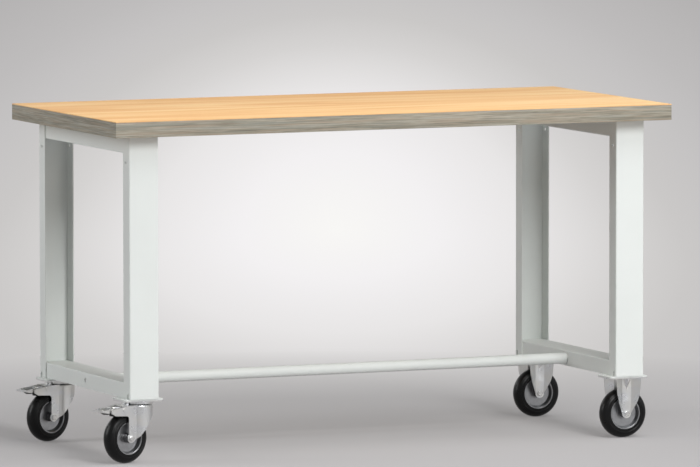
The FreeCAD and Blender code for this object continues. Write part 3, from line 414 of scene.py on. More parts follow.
@dataclass(frozen=True)
class EdgeWood(Finish):
    """Weathered grey-brown grain that runs level round the edge, with warm and cool streaks."""

    tones: Tuple[Colour, ...] = (tone(118, 112, 98), tone(139, 133, 118),
                                 tone(154, 148, 133), tone(171, 165, 151))
    marks: Tuple[float, ...] = (0.39, 0.47, 0.53, 0.61)
    warm: Colour = tone(160, 144, 125)
    cool: Colour = tone(138, 140, 131)
    bands: Noise = Noise(1.0, 1.0, stretch=(2.4, 2.4, 110.0))
    streaks: Noise = Noise(1.0, 2.0, 0.6, stretch=(12.0, 12.0, 480.0))
    pores: Noise = Noise(1.0, 2.0, stretch=(60.0, 60.0, 1500.0))
    tints: Noise = Noise(1.0, 1.0, stretch=(7.0, 7.0, 240.0))
    weights: Triple = (0.3, 0.55, 0.15)
    warm_range: Pair = (0.54, 0.66)
    cool_range: Pair = (0.34, 0.46)
    warm_shares: Pair = (0.0, 0.55)
    cool_shares: Pair = (0.5, 0.0)
    roughness: Pair = (0.56, 0.68)
    raised: Pair = (0.01 * MM, 0.8)

    def dress(self, graph: Graph) -> None:
        """Set the streaks' colours, the dull gloss and the open pores.

        Args:
            graph: The material's node tree.
        """
        layers = [graph.noise(look) for look in (self.bands, self.streaks, self.pores)]
        streak, pore = layers[1:]
        colour = graph.ramp(graph.weighted(*zip(layers, self.weights)), self.marks, self.tones)
        tint = graph.noise(self.tints)
        warmth = graph.between(tint, self.warm_range, self.warm_shares)
        colour = graph.mixed(warmth, colour, self.warm)
        coolness = graph.between(tint, self.cool_range, self.cool_shares)
        graph.give("Base Color", graph.mixed(coolness, colour, self.cool))
        graph.give("Roughness", graph.between(pore, MIDDLE, self.roughness))
        graph.relief(graph.sums("ADD", streak, pore), self.raised)


@dataclass(frozen=True)
class ChipBoard(Finish):
    """Pressed board: flat chips of several tones that lie every way."""

    dark: Colour = tone(158, 128, 92)
    light: Colour = tone(216, 190, 150)
    chip_scale: float = 260.0
    chip_stretch: Triple = (1.0, 1.7, 1.0)
    clouds: Noise = Noise(14.0, 3.0)
    weights: Pair = (0.75, 0.25)
    roughness: float = 0.8
    raised: Pair = (0.1 * MM, 0.5)

    def dress(self, graph: Graph) -> None:
        """Set the chips' tones and their rough surface.

        Args:
            graph: The material's node tree.
        """
        chip = graph.cells(self.chip_scale, self.chip_stretch)
        layers = (chip, graph.noise(self.clouds))
        share = graph.weighted(*zip(layers, self.weights))
        graph.give("Base Color", graph.mixed(share, self.dark, self.light))
        graph.give("Roughness", self.roughness)
        graph.relief(chip, self.raised)


@dataclass(frozen=True)
class ZincPlate(Finish):
    """Bright zinc plating: a soft mirror, with faint clouds of blue and straw."""

    cool: Colour = tone(220, 222, 224)
    straw: Colour = tone(223, 222, 218)
    clouds: Noise = Noise(26.0)
    contrast: Pair = (0.35, 0.65)
    roughness: Pair = (0.26, 0.33)
    waves: Noise = Noise(60.0, 1.0)
    raised: Pair = (0.004 * MM, 0.5)

    def dress(self, graph: Graph) -> None:
        """Set the plating's tint, its uneven gloss and the faint waves of pressed sheet.

        Args:
            graph: The material's node tree.
        """
        cloud = graph.noise(self.clouds)
        share = graph.between(cloud, self.contrast, FULL)
        graph.give("Base Color", graph.mixed(share, self.cool, self.straw))
        graph.give("Metallic", 1.0)
        graph.give("Roughness", graph.between(cloud, MIDDLE, self.roughness))
        graph.relief(graph.noise(self.waves), self.raised)


@dataclass(frozen=True)
class PlainSteel(Finish):
    """Bare or oiled steel of springs and balls, with a fine grain."""

    dark: Colour = tone(150, 151, 154)
    light: Colour = tone(196, 197, 199)
    clouds: Noise = Noise(120.0, 3.0)
    roughness: Pair = (0.24, 0.38)
    grain: Noise = Noise(1400.0, 1.0)
    raised: Pair = (0.0015 * MM, 0.6)

    def dress(self, graph: Graph) -> None:
        """Set the steel's tone, its gloss and its grain.

        Args:
            graph: The material's node tree.
        """
        cloud = graph.noise(self.clouds)
        share = graph.between(cloud, MIDDLE, FULL)
        graph.give("Base Color", graph.mixed(share, self.dark, self.light))
        graph.give("Metallic", 1.0)
        graph.give("Roughness", graph.between(cloud, MIDDLE, self.roughness))
        graph.relief(graph.noise(self.grain), self.raised)


@dataclass(frozen=True)
class RoundFinish(Finish):
    """A finish whose marks run round an axle; it knows the wheel's centre and turn."""

    centre: Triple = (0.0, 0.0, 0.0)
    turn: float = 0.0

    def radius(self, graph: Graph) -> bpy.types.NodeSocket:
        """The distance from the axle: the length of the wheel's own X and Z.

        Args:
            graph: The material's node tree.

        Returns:
            The distance, in metres.
        """
        seen = graph.centred(self.centre, self.turn)
        flat = graph.add("VectorMath", {0: seen, 1: (1.0, 0.0, 1.0)}, operation="MULTIPLY")
        return graph.length(flat.outputs[0])

    def rings(self, graph: Graph, per_metre: float) -> bpy.types.NodeSocket:
        """Fine rings: nought to one by a sine of the distance from the axle."""
        phase = graph.sums("MULTIPLY", self.radius(graph), per_metre * 2 * math.pi)
        return graph.between(graph.sums("SINE", phase), (-1.0, 1.0), FULL)


@dataclass(frozen=True)
class TyreRubber(RoundFinish):
    """Black solid rubber: dull, a little dusty on the tread, with moulding rings on its sides."""

    black: Colour = tone(8, 8, 9)
    worn: Colour = tone(21, 21, 21)
    clouds: Noise = Noise(55.0, 4.0, 0.6)
    dust_share: float = 0.35
    tread: Pair = (58.5 * MM, 62.5 * MM)
    tread_dust: Pair = (0.0, 0.7)
    roughness: Pair = (0.26, 0.38)
    shine: float = 0.22
    grit: Noise = Noise(1500.0)
    grit_share: float = 0.4
    rings_per_metre: float = 420.0
    raised: Pair = (0.01 * MM, 0.6)

    def dress(self, graph: Graph) -> None:
        """Set the rubber's tone, its dull sheen and its moulding marks.

        Args:
            graph: The material's node tree.
        """
        cloud = graph.noise(self.clouds)
        tread = graph.between(self.radius(graph), self.tread, self.tread_dust)
        share = graph.weighted((cloud, self.dust_share), (tread, cloud))
        graph.give("Base Color", graph.mixed(share, self.black, self.worn))
        graph.give("Roughness", graph.between(cloud, MIDDLE, self.roughness))
        graph.give("Specular IOR Level", self.shine)
        grit = graph.sums("MULTIPLY", graph.noise(self.grit), self.grit_share)
        graph.relief(graph.sums("ADD", grit, self.rings(graph, self.rings_per_metre)), self.raised)


@dataclass(frozen=True)
class RimSteel(RoundFinish):
    """Galvanised pressed steel: dull metal flakes, with the press's rings round the axle."""

    dark: Colour = tone(142, 143, 145)
    light: Colour = tone(172, 173, 175)
    flake_scale: float = 210.0
    clouds: Noise = Noise(60.0, 3.0)
    weights: Pair = (0.2, 0.8)
    roughness: Pair = (0.28, 0.36)
    rings_per_metre: float = 900.0
    raised: Pair = (0.004 * MM, 0.5)

    def dress(self, graph: Graph) -> None:
        """Set the flakes' tones, the gloss and the rings.

        Args:
            graph: The material's node tree.
        """
        layers = (graph.cells(self.flake_scale), graph.noise(self.clouds))
        share = graph.weighted(*zip(layers, self.weights))
        graph.give("Base Color", graph.mixed(share, self.dark, self.light))
        graph.give("Metallic", 1.0)
        graph.give("Roughness", graph.between(layers[1], MIDDLE, self.roughness))
        graph.relief(self.rings(graph, self.rings_per_metre), self.raised)


@dataclass(frozen=True)
class DarkPlastic(Finish):
    """Moulded dark grey plastic or rubber block with a fine matt grain."""

    dark: Colour
    light: Colour
    roughness: Pair
    clouds: Noise = Noise(90.0, 3.0)
    grain: Noise = Noise(1700.0, 1.0)
    raised: Pair = (0.005 * MM, 0.6)

    def dress(self, graph: Graph) -> None:
        """Set the tone, the gloss and the grain.

        Args:
            graph: The material's node tree.
        """
        cloud = graph.noise(self.clouds)
        graph.give("Base Color", graph.mixed(cloud, self.dark, self.light))
        graph.give("Roughness", graph.between(cloud, MIDDLE, self.roughness))
        graph.relief(graph.noise(self.grain), self.raised)


@dataclass(frozen=True)
class StudioFloor(Finish):
    """Pale floor: it takes the table's shadow, and further off it fades into a painted pool of
    light.

    The camera and the rays of gloss and glass see the pool's painted tones, which glow as an
    emission, away from the table, and a share of them lightens the real shadow near it.
    They fall off with a distance that is measured along and across a line through the pool,
    so that the pool is long along the line and narrow across it.
    """

    heading: float = 0.4107
    pool: float = 6.0
    beyond: float = 11.0
    before: float = 5.5
    sideways: float = 1.05
    tone_scale: float = 0.5
    # Painted light: the pool's glowing tones, brightest at its middle and darker further off.
    marks: Tuple[float, ...] = (0.0, 0.15, 0.3, 0.43, 0.53, 0.63, 0.75, 1.0)
    tones: Tuple[Colour, ...] = (
        tone(248, 247, 245), tone(243, 241, 242), tone(232, 230, 230), tone(213, 211, 210),
        tone(202, 200, 199), tone(197, 195, 195), tone(190, 188, 188), tone(180, 178, 178))
    shadow_reach: Pair = (0.95, 2.2)
    painted_pool_shares: Pair = (0.3, 1.0)
    near: Colour = tone(188, 186, 187)
    clouds: Noise = Noise(0.8)
    roughness: Pair = (0.8, 0.9)
    shine: float = 0.1

    def dress(self, graph: Graph) -> None:
        """Set the floor's own tone, and mix in the painted pool of light by the distance from the
        table.

        Args:
            graph: The material's node tree.
        """
        graph.give("Base Color", self.near)
        graph.give("Roughness", graph.between(graph.noise(self.clouds), MIDDLE, self.roughness))
        graph.give("Specular IOR Level", self.shine)
        # Painted light: an emission of the pool's tones, seen by camera, gloss and glass rays.
        pool = graph.add("Emission", {"Color": self.painted_light_pool_tone(graph)})
        path = graph.add("LightPath").outputs
        seen = graph.sums("MAXIMUM", path["Is Camera Ray"], path["Is Glossy Ray"])
        seen = graph.sums("MAXIMUM", seen, path["Is Transmission Ray"])
        away = graph.between(graph.length(graph.spot), self.shadow_reach, self.painted_pool_shares)
        both = graph.add("MixShader", {0: graph.sums("MULTIPLY", away, seen),
                                       1: graph.shader.outputs[0], 2: pool.outputs[0]})
        graph.feed(graph.nodes["Material Output"].inputs["Surface"], both.outputs[0])

    def painted_light_pool_tone(self, graph: Graph) -> bpy.types.NodeSocket:
        """The tone of the painted pool of light at each place.

        The distance from the pool's middle counts along the line in reaches of their own beyond
        it and before it, and across the line in a third; the tone follows its length.

        Args:
            graph: The floor's node tree.

        Returns:
            The tone.
        """
        axes = graph.add("SeparateXYZ", {0: graph.centred((0.0, 0.0, 0.0), -self.heading)}).outputs
        ahead = graph.sums("SUBTRACT", axes[1], self.pool)
        far = graph.sums("DIVIDE", graph.sums("MAXIMUM", ahead, 0.0), self.beyond)
        close = graph.sums("DIVIDE", graph.sums("MINIMUM", ahead, 0.0), self.before)
        wide = graph.sums("DIVIDE", axes[0], self.sideways)
        parts = graph.add("CombineXYZ", {0: graph.sums("ADD", far, close), 1: wide}).outputs[0]
        away = graph.sums("MULTIPLY", graph.length(parts), self.tone_scale)
        return graph.ramp(away, self.marks, self.tones)


# ---------------------------------------------------------------------------
# Surfaces
# ---------------------------------------------------------------------------
def full_turn(steps: int) -> np.ndarray:
    """Angles in even steps once round, without the last, which is the first again."""
    return np.linspace(0.0, 2 * math.pi, steps, endpoint=False)


@dataclass(frozen=True)
class Sheet:
    """A surface on a grid of points, rows by columns, that may close on itself either way."""

    points: np.ndarray
    rows_close: bool = False
    columns_close: bool = True

    def faces(self, start: int) -> np.ndarray:
        """Four-sided faces between neighbouring grid points.

        Args:
            start: The number of the sheet's first vertex in its mesh.

        Returns:
            One row of four vertex numbers per face.
        """
        rows, columns = self.points.shape[:2]
        index = start + np.arange(rows * columns).reshape(rows, columns)
        if self.rows_close:
            index = np.vstack([index, index[:1]])
        if self.columns_close:
            index = np.hstack([index, index[:, :1]])
        corners = [index[:-1, :-1], index[1:, :-1], index[1:, 1:], index[:-1, 1:]]
        return np.stack(corners, -1).reshape(-1, len(corners))


@dataclass(frozen=True)
class Pose:
    """Where a piece's own frame stands: a point and a turn about Z, in metres and radians."""

    centre: Triple
    turn: float = 0.0

    def apply(self, points: np.ndarray) -> np.ndarray:
        """Turn points about Z by the pose's angle, then move them to its centre.

        Args:
            points: Points of the piece's own frame.

        Returns:
            The same points in the table's frame.
        """
        c, s = math.cos(self.turn), math.sin(self.turn)
        level = [points[..., 0] * c - points[..., 1] * s, points[..., 0] * s + points[..., 1] * c]
        return np.stack([*level, points[..., 2]], -1) + np.array(self.centre)


def standing(node: str, turn: float) -> Pose:
    """The pose at the middle of a node's box, with a turn about Z."""
    low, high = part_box(node)
    return Pose(tuple((low + high) / 2), turn)


def build_piece(name: str, sheets: Sequence[Sheet], finish: Finish, body: str,
                sharp: float = 35.0) -> bpy.types.Object:
    """Put sheets into one closed mesh, dress it and let it ride on a body.

    Args:
        name: The piece's name.
        sheets: Its surfaces, in the table's frame.
        finish: What it is finished with.
        body: The body that it moves with.
        sharp: The angle in degrees from which an edge stays sharp.

    Returns:
        The new object.
    """
    counts = np.cumsum([0] + [sheet.points[..., 0].size for sheet in sheets])
    points = np.concatenate([sheet.points.reshape(-1, 3) for sheet in sheets])
    faces = np.concatenate([sheet.faces(start) for sheet, start in zip(sheets, counts)])
    mesh = bpy.data.meshes.new(name)
    mesh.from_pydata(points, [], faces)
    work = bmesh.new()
    work.from_mesh(mesh)
    bmesh.ops.remove_doubles(work, verts=work.verts, dist=MERGED)
    bmesh.ops.dissolve_degenerate(work, edges=work.edges, dist=EMPTY)
    bmesh.ops.recalc_face_normals(work, faces=work.faces)
    work.to_mesh(mesh)
    work.free()
    mesh.shade_smooth()
    mesh.set_sharp_from_angle(angle=math.radians(sharp))
    mesh.materials.append(finish.material())
    piece = bpy.data.objects.new(name, mesh)
    bpy.context.scene.collection.objects.link(piece)
    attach(piece, body)
    LOG.info("%s: %d faces on %s", name, len(mesh.polygons), body)
    return piece


def dress_node(name: str, finish: Finish) -> None:
    """Give a node of the frame its material.

    Args:
        name: The node's name.
        finish: What it is finished with.
    """
    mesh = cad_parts[name].data
    mesh.materials.clear()
    mesh.materials.append(finish.material())
    LOG.info("%s: %s", name, finish.name)


def rounded_slab(low: Sequence[float], high: Sequence[float], radius: float,
                 steps: int = 4) -> Sheet:
    """A slab with all its edges rounded.

    A point is a corner of the slab drawn in by the radius, plus the radius times a direction of
    the sphere; the directions of each eighth of the sphere belong to that eighth's corner.

    Args:
        low: The lowest corner.
        high: The highest corner.
        radius: The rounding.
        steps: How many faces a quarter turn has.

    Returns:
        The closed surface.
    """
    low, high = np.array(low), np.array(high)
    quarter = np.linspace(0.0, math.pi / 2, steps + 1)
    turn = np.concatenate([quarter + k * math.pi / 2 for k in range(4)])
    rise = np.concatenate([quarter - math.pi / 2, quarter])
    sign_x = np.repeat([1.0, -1.0, -1.0, 1.0], steps + 1)
    sign_y = np.repeat([1.0, 1.0, -1.0, -1.0], steps + 1)
    sign_z = np.repeat([-1.0, 1.0], steps + 1)[:, None]
    across = np.cos(rise)[:, None]
    ball = np.stack(np.broadcast_arrays(across * np.cos(turn), across * np.sin(turn),
                                        np.sin(rise)[:, None]), -1)
    sign = np.stack(np.broadcast_arrays(sign_x, sign_y, sign_z), -1)
    middle = (low + high) / 2
    points = middle + sign * ((high - low) / 2 - radius) + radius * ball
    ends = [np.broadcast_to([middle[0], middle[1], z], (1, len(turn), 3))
            for z in (low[2], high[2])]
    return Sheet(np.concatenate([ends[0], points, ends[1]]))


def turned(profile: np.ndarray, steps: int, pose: Pose) -> Sheet:
    """A closed profile turned round the wheel's own Y axis.

    Args:
        profile: Pairs of a place along the axle and a distance from it, all round the section.
        steps: How many places the turn is divided into.
        pose: Where the wheel stands.

    Returns:
        The ring's closed surface.
    """
    angle = full_turn(steps)
    y, r = profile[:, 0][:, None], profile[:, 1][:, None]
    points = np.stack([r * np.sin(angle), y * np.ones_like(angle), r * np.cos(angle)], -1)
    return Sheet(pose.apply(points), rows_close=True)


def string(line: np.ndarray, size: np.ndarray, first: np.ndarray,
           second: np.ndarray) -> np.ndarray:
    """A round string along a line.

    Each point is the line's point plus the radius there, times a direction that turns from the
    first cross direction to the second and on.

    Args:
        line: The points of the line.
        size: The string's radius at each.
        first: A direction across the line, for all points or for each.
        second: The direction across the line and the first.

    Returns:
        Rows of points round the line.
    """
    angle = full_turn(STRING_STEPS)[:, None]
    ring = np.cos(angle) * first[..., None, :] + np.sin(angle) * second[..., None, :]
    return line[:, None] + size[:, None, None] * ring


def bead(start: Triple, end: Triple, radius: float, pitch: float) -> Sheet:
    """A weld bead: a round string whose radius rises and falls once for each overlapping drop.

    The radius is the full one, times the root of one less the eighth power of the place between
    the ends, which closes both of them, times one plus a small sine of the distance along it.

    Args:
        start: Where it starts.
        end: Where it ends.
        radius: Its full radius.
        pitch: The distance from drop to drop.

    Returns:
        The bead's closed surface.
    """
    start, end = np.array(start), np.array(end)
    length = float(np.linalg.norm(end - start))
    along = (end - start) / length
    side = np.cross(along, ASLANT)
    side /= np.linalg.norm(side)
    rows = max(FEWEST_ROWS, int(length / pitch * DROP_STEPS))
    share = (1 - np.cos(np.linspace(0.0, math.pi, rows))) / 2
    dome = np.sqrt(np.clip(1 - (2 * share - 1) ** 8, 0.0, 1.0))
    size = radius * dome * (1 + DROP_SWELL * np.sin(share * length / pitch * 2 * math.pi))
    line = start + (share * length)[:, None] * along
    return Sheet(string(line, size, side, np.cross(along, side)))


# ---------------------------------------------------------------------------
# Sub-assemblies
# ---------------------------------------------------------------------------
@dataclass
class Worktop:
    """Chipboard core with a wood face and four edge bands whose outer corners are rounded."""

    face: Finish = WoodFace("beech_face")
    edge: Finish = EdgeWood("edge_grain")
    core: Finish = ChipBoard("core_board")
    screws: Finish = ZincPlate("screw_zinc")
    band_rounding: float = 0.7 * MM
    face_rounding: float = 0.12 * MM
    sharp: float = 60.0

    def build(self) -> None:
        """Dress the core and its screws, and put rounded boards in place of face and bands."""
        dress_node("worktop_core", self.core)
        dress_node("worktop_screws", self.screws)
        for side in ("front", "rear", "left", "right"):
            self.board("edge_band_" + side, "worktop_band_" + side, self.edge,
                       self.band_rounding)
        self.board("worktop_surface", "worktop_face", self.face, self.face_rounding)

    def board(self, node: str, name: str, finish: Finish, rounding: float) -> None:
        """Stand a rounded board in place of a node.

        Args:
            node: The frame's node.
            name: The board's name.
            finish: Its finish.
            rounding: The radius of its edges.
        """
        slab = rounded_slab(*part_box(node), rounding)
        piece = build_piece(name, [slab], finish, "table", self.sharp)
        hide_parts(node)


@dataclass
class SideFrames:
    """Legs, rails, foot plates and stretcher under one coat of paint, with their weld beads."""

    paint: Finish = PowderCoat("frame_paint")
    zinc: Finish = ZincPlate("bolt_zinc")
    bead_radius: float = 1.7 * MM
    bead_pitch: float = 2.4 * MM
    toe_share: float = 0.8
    toe_length: float = 18 * MM
    sheet: float = 2.5 * MM
    bead_inset: float = 8 * MM
    sharp: float = 80.0

    def build(self) -> None:
        """Dress the frame's nodes and lay the beads."""
        for corner in Corner:
            dress_node("leg_" + corner.label, self.paint)
        for side in ("left", "right"):
            dress_node("upper_rail_" + side, self.paint)
            dress_node("lower_rail_" + side, self.paint)
        dress_node("foot_plates", self.paint)
        dress_node("stretcher_tube", self.paint)
        dress_node("stretcher_inserts", self.zinc)
        dress_node("stretcher_bolts", self.zinc)
        dress_node("castor_screws", self.zinc)
        beads = [one for corner in Corner for one in self.corner_beads(corner)]
        build_piece("frame_weld_beads", beads, self.paint, "table", self.sharp)

    def corner_beads(self, corner: Corner) -> List[Sheet]:
        """The beads at one leg: across the lower rail's end, inside the leg, and along the foot.

        Args:
            corner: Which leg.

        Returns:
            The beads' surfaces.
        """
        leg_low, leg_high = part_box("leg_" + corner.label)
        low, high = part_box("lower_rail_left" if corner.along < 0 else "lower_rail_right")
        outer = leg_low[1] if corner.across < 0 else leg_high[1]
        web = outer - corner.across * self.sheet
        beads = [bead((low[0] + self.bead_inset, web, high[2]),
                      (high[0] - self.bead_inset, web, high[2]),
                      self.bead_radius, self.bead_pitch)]
        near = outer - corner.across * self.bead_inset
        far = near - corner.across * self.toe_length
        beads += [bead((x, near, leg_low[2]), (x, far, leg_low[2]),
                       self.bead_radius * self.toe_share, self.bead_pitch)
                  for x in (leg_low[0], leg_high[0])]
        return beads


@dataclass
class Wheel:
    """Tyre, rim and bearing tube that turn together on the axle of one castor."""

    corner: Corner
    pose: Pose
    seat: float = 40.5 * MM
    radius: float = 62.5 * MM
    half_width: float = 18.75 * MM
    shoulder: float = 18.0 * MM
    rib_places: Pair = (9.5 * MM, 12.5 * MM)
    rib_height: float = 0.35 * MM
    rib_width: float = 0.7 * MM
    groove_place: float = 2.6 * MM
    groove_depth: float = 1.0 * MM
    groove_width: float = 0.9 * MM
    shoulder_rows: int = 60
    side_rows: int = 5
    steps: int = 144
    sharp: float = 50.0
    hub: Finish = DarkPlastic("hub_grey", tone(70, 70, 72), tone(92, 92, 94), (0.29, 0.42))

    def build(self) -> None:
        """Dress rim and bearing tube, and put the moulded tyre in place of the plain one."""
        label, body = self.corner.label, "wheel_" + self.corner.label
        where = {"centre": self.pose.centre, "turn": self.pose.turn}
        dress_node("rim_" + label, RimSteel("rim_steel_" + label, **where))
        dress_node("hub_" + label, self.hub)
        ring = turned(self.profile(), self.steps, self.pose)
        tyre = build_piece("tyre_moulded_" + label, [ring],
                           TyreRubber("tyre_rubber_" + label, **where), body,
                           self.sharp)
        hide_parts("tyre_" + label)

    def profile(self) -> np.ndarray:
        """The tyre's section, from its seat over one side, the crown and the other side.

        The shoulder is a quarter circle. Its radius is lessened by a groove near the rim and
        raised by two ribs further out, each a bell curve of the distance along the section.

        Returns:
            Pairs of a place along the axle and a distance from it.
        """
        arc = np.linspace(0.0, math.pi / 2, self.shoulder_rows)
        reach = arc * self.shoulder
        ribs = sum(np.exp(-((reach - place) / self.rib_width) ** 2) for place in self.rib_places)
        groove = np.exp(-((reach - self.groove_place) / self.groove_width) ** 2)
        around = self.shoulder + (self.rib_height * ribs - self.groove_depth * groove)
        base = self.radius - self.shoulder
        y = (self.half_width - self.shoulder) + around * np.cos(arc)
        r = base + around * np.sin(arc)
        side = np.linspace(self.seat, base, self.side_rows, endpoint=False)
        half = np.concatenate([np.stack([np.full_like(side, self.half_width), side], -1),
                               np.stack([y, r], -1)])
        return np.concatenate([half, half[::-1] * [-1.0, 1.0]])


@dataclass
class AxleFastening:
    """Hexagon bolt through the wheel, with bevelled corners and a grooved head, and its nut.

    Each of the head's rows is how far it lies below the face, and its share of the crown.
    """

    corner: Corner
    pose: Pose
    body: str
    outer: float
    radius: float = 4 * MM
    flats: float = 13 * MM
    head: float = 4 * MM
    nut: float = 5 * MM
    proud: float = 2.0 * MM
    bevel: float = 1.1 * MM
    bevel_rows: int = 6
    crown_share: float = 0.93
    head_rows: Tuple[Pair, ...] = ((0.0, 0.0), (0.0, 0.72), (0.25 * MM, 0.76), (0.05 * MM, 1.0))
    head_bevel: float = 0.1 * MM
    nut_bevel: float = 0.05 * MM
    thread_inside: float = 1.0 * MM
    thread_pitch: float = 1.25 * MM
    thread_depth: float = 0.55 * MM
    thread_rows: int = 56
    tip_length: float = 0.5 * MM
    tip_narrowing: float = 0.3 * MM
    bore_gap: float = 0.05 * MM
    mouth: float = 0.4 * MM
    steps: int = 72
    zinc: Finish = ZincPlate("axle_zinc", roughness=(0.19, 0.26))

    @property
    def crown(self) -> float:
        """The radius of a hexagon's bevel at its free face."""
        return self.flats / 2 * self.crown_share

    @property
    def point(self) -> float:
        """The distance from the axle to a hexagon's corners."""
        return self.flats / 2 / math.cos(math.pi / 6)

    def build(self) -> None:
        """Put the detailed bolt and nut in place of the plain ones."""
        label = self.corner.label
        bolt = build_piece("axle_bolt_turned_" + label, [self.bolt()], self.zinc, self.body)
        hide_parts("axle_bolt_" + label)
        nut = build_piece("axle_nut_turned_" + label, [self.nut_ring()], self.zinc, self.body)
        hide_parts("axle_nut_" + label)

    def rows(self, places: Sequence[Tuple[float, Union[float, np.ndarray]]]) -> np.ndarray:
        """Rows of points round the axle.

        Args:
            places: For each row its place along the wheel's own Y axis, and its distance from
                the axle, one for all angles or one for each.

        Returns:
            The points, in the table's frame.
        """
        angle = full_turn(self.steps)
        rings = [np.stack([r * np.sin(angle), np.full(self.steps, y), r * np.cos(angle)], -1)
                 for y, r in places]
        return self.pose.apply(np.stack(rings))

    def hexagon(self, limit: float) -> np.ndarray:
        """The distance to a hexagon's outline at each angle, cut back to a circle.

        The outline is half the flats over the cosine of the angle from the nearest flat's middle.

        Args:
            limit: The circle's radius.

        Returns:
            One distance for each angle.
        """
        half = math.pi / 6
        from_flat = (full_turn(self.steps) + half) % (2 * half) - half
        return np.minimum(self.flats / 2 / np.cos(from_flat), limit)

    def bevelled(self, depth: float) -> np.ndarray:
        """The hexagon at a depth below its free face, where its circle widens evenly."""
        return self.hexagon(self.crown + (self.point - self.crown) * depth / self.bevel)

    def bolt(self) -> Sheet:
        """Head with a grooved face, a plain shank and a thread that stands out of the nut.

        The thread is one groove that runs on with the angle: the radius falls by the depth times
        a zigzag of the distance in pitches less the share of the turn.

        Returns:
            The bolt's closed surface.
        """
        top = -self.outer - self.head
        places = [(top + sunk, self.crown * share) for sunk, share in self.head_rows]
        places += [(top + depth, self.bevelled(depth))
                   for depth in np.linspace(self.head_bevel, self.bevel, self.bevel_rows)]
        start = self.outer - self.thread_inside
        end = self.outer + self.nut + self.proud
        places += [(-self.outer, self.hexagon(self.point)), (-self.outer, self.radius),
                   (start, self.radius)]
        turns = np.arange(self.steps) / self.steps
        for y in np.linspace(start, end - self.tip_length, self.thread_rows):
            phase = (y / self.thread_pitch - turns) % 1.0
            places.append((y, self.radius - self.thread_depth * np.abs(2 * phase - 1)))
        places += [(end, self.radius - self.thread_depth - self.tip_narrowing), (end, 0.0)]
        return Sheet(self.rows(places))

    def nut_ring(self) -> Sheet:
        """Nut whose corners are bevelled on the free side, with a widened mouth to its bore.

        Returns:
            The nut's closed surface.
        """
        bore = self.radius + self.bore_gap
        top = self.outer + self.nut
        places = [(self.outer, bore), (self.outer, self.hexagon(self.point))]
        places += [(top - depth, self.bevelled(depth))
                   for depth in np.linspace(self.bevel, self.nut_bevel, self.bevel_rows)]
        places += [(top, self.crown), (top, bore + self.mouth), (top - self.mouth, bore)]
        return Sheet(self.rows(places), rows_close=True)


def hang_wheel(corner: Corner, turn: float, body: str, outer: float) -> None:
    """Build a castor's wheel and fasten its axle, about the middle of the bearing tube.

    Args:
        corner: Which castor.
        turn: How far it stands turned about Z.
        body: The body that carries the axle.
        outer: The distance from the wheel's middle to the outside of what holds the axle.
    """
    pose = standing("hub_" + corner.label, turn)
    Wheel(corner, pose).build()
    AxleFastening(corner, pose, body, outer).build()


@dataclass
class SwivelCastor:
    """Plate castor that turns about its king pin, with a brake pedal and a swivel lock."""

    corner: Corner
    turn: float = math.radians(18)
    fork_outer: float = 25 * MM
    zinc: Finish = ZincPlate("castor_zinc")
    wire: Finish = PlainSteel("spring_wire")
    rubber: Finish = DarkPlastic("brake_rubber", tone(24, 24, 25), tone(38, 38, 38), (0.55, 0.68))
    coil_radius: float = 5.4 * MM
    wire_radius: float = 0.8 * MM
    coil_length: float = 22 * MM
    coils: float = 10.0
    coil_steps: int = 28
    end_power: int = 400
    sharp: float = 80.0

    def build(self) -> None:
        """Dress the castor's nodes and add its axle, wheel and wound spring."""
        label, body = self.corner.label, "swivel_" + self.corner.label
        for node in ("swivel_plate_", "race_ring_", "fork_", "brake_pedal_", "swivel_lock_",
                     "pedal_pin_"):
            dress_node(node + label, self.zinc)
        dress_node("brake_shoe_" + label, self.rubber)
        hang_wheel(self.corner, self.turn, body, self.fork_outer)
        spring = build_piece("pedal_spring_wound_" + label, [self.spring()], self.wire, body,
                             self.sharp)
        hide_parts("pedal_spring_" + label)

    def spring(self) -> Sheet:
        """A wire wound round the pedal's pin: a helix along the pin, closed by shrinking ends.

        Each point is the helix's point plus the wire's radius times a direction that turns
        round the helix's own tangent. A high even power of the place between the ends shrinks
        the radius only at the very ends.

        Returns:
            The wire's closed surface.
        """
        share = np.linspace(0.0, 1.0, int(self.coils * self.coil_steps))
        turn = share * self.coils * 2 * math.pi
        out = np.stack([np.cos(turn), np.zeros_like(turn), np.sin(turn)], -1)
        line = self.coil_radius * out
        line[:, 1] = (share - 0.5) * self.coil_length
        climb = self.coil_length / (self.coils * 2 * math.pi)
        ahead = np.stack([-self.coil_radius * np.sin(turn), np.full_like(turn, climb),
                          self.coil_radius * np.cos(turn)], -1)
        ahead /= np.linalg.norm(ahead, axis=1, keepdims=True)
        size = self.wire_radius * np.sqrt(np.clip(1 - (2 * share - 1) ** self.end_power, 0, 1))
        pose = standing("pedal_spring_" + self.corner.label, self.turn)
        return Sheet(pose.apply(string(line, size, out, np.cross(ahead, out))))


@dataclass
class FixedCastor:
    """Plate castor whose pressed bracket holds the wheel in line with the table's length."""

    corner: Corner
    bracket_outer: float = 25 * MM
    zinc: Finish = ZincPlate("castor_zinc")

    def build(self) -> None:
        """Dress the bracket and add its axle and wheel."""
        dress_node("bracket_" + self.corner.label, self.zinc)
        hang_wheel(self.corner, 0.0, "table", self.bracket_outer)


# ---------------------------------------------------------------------------
# Studio
# ---------------------------------------------------------------------------
@dataclass(frozen=True)
class Lamp:
    """A soft lamp: where it hangs, what it points at, its width and height, and its watts."""

    name: str
    place: Triple
    target: Triple
    size: Pair
    power: float

    def hang(self) -> None:
        """Hang the lamp, unseen by the camera, with its face towards the target."""
        light = bpy.data.lights.new(self.name, "AREA")
        light.shape = "RECTANGLE"
        light.size, light.size_y = self.size
        light.energy = self.power
        lamp = bpy.data.objects.new(self.name, light)
        lamp.location = self.place
        lamp.visible_camera = False
        sight = Vector(self.target) - Vector(self.place)
        lamp.rotation_euler = sight.to_track_quat("-Z", "Y").to_euler()
        bpy.context.scene.collection.objects.link(lamp)


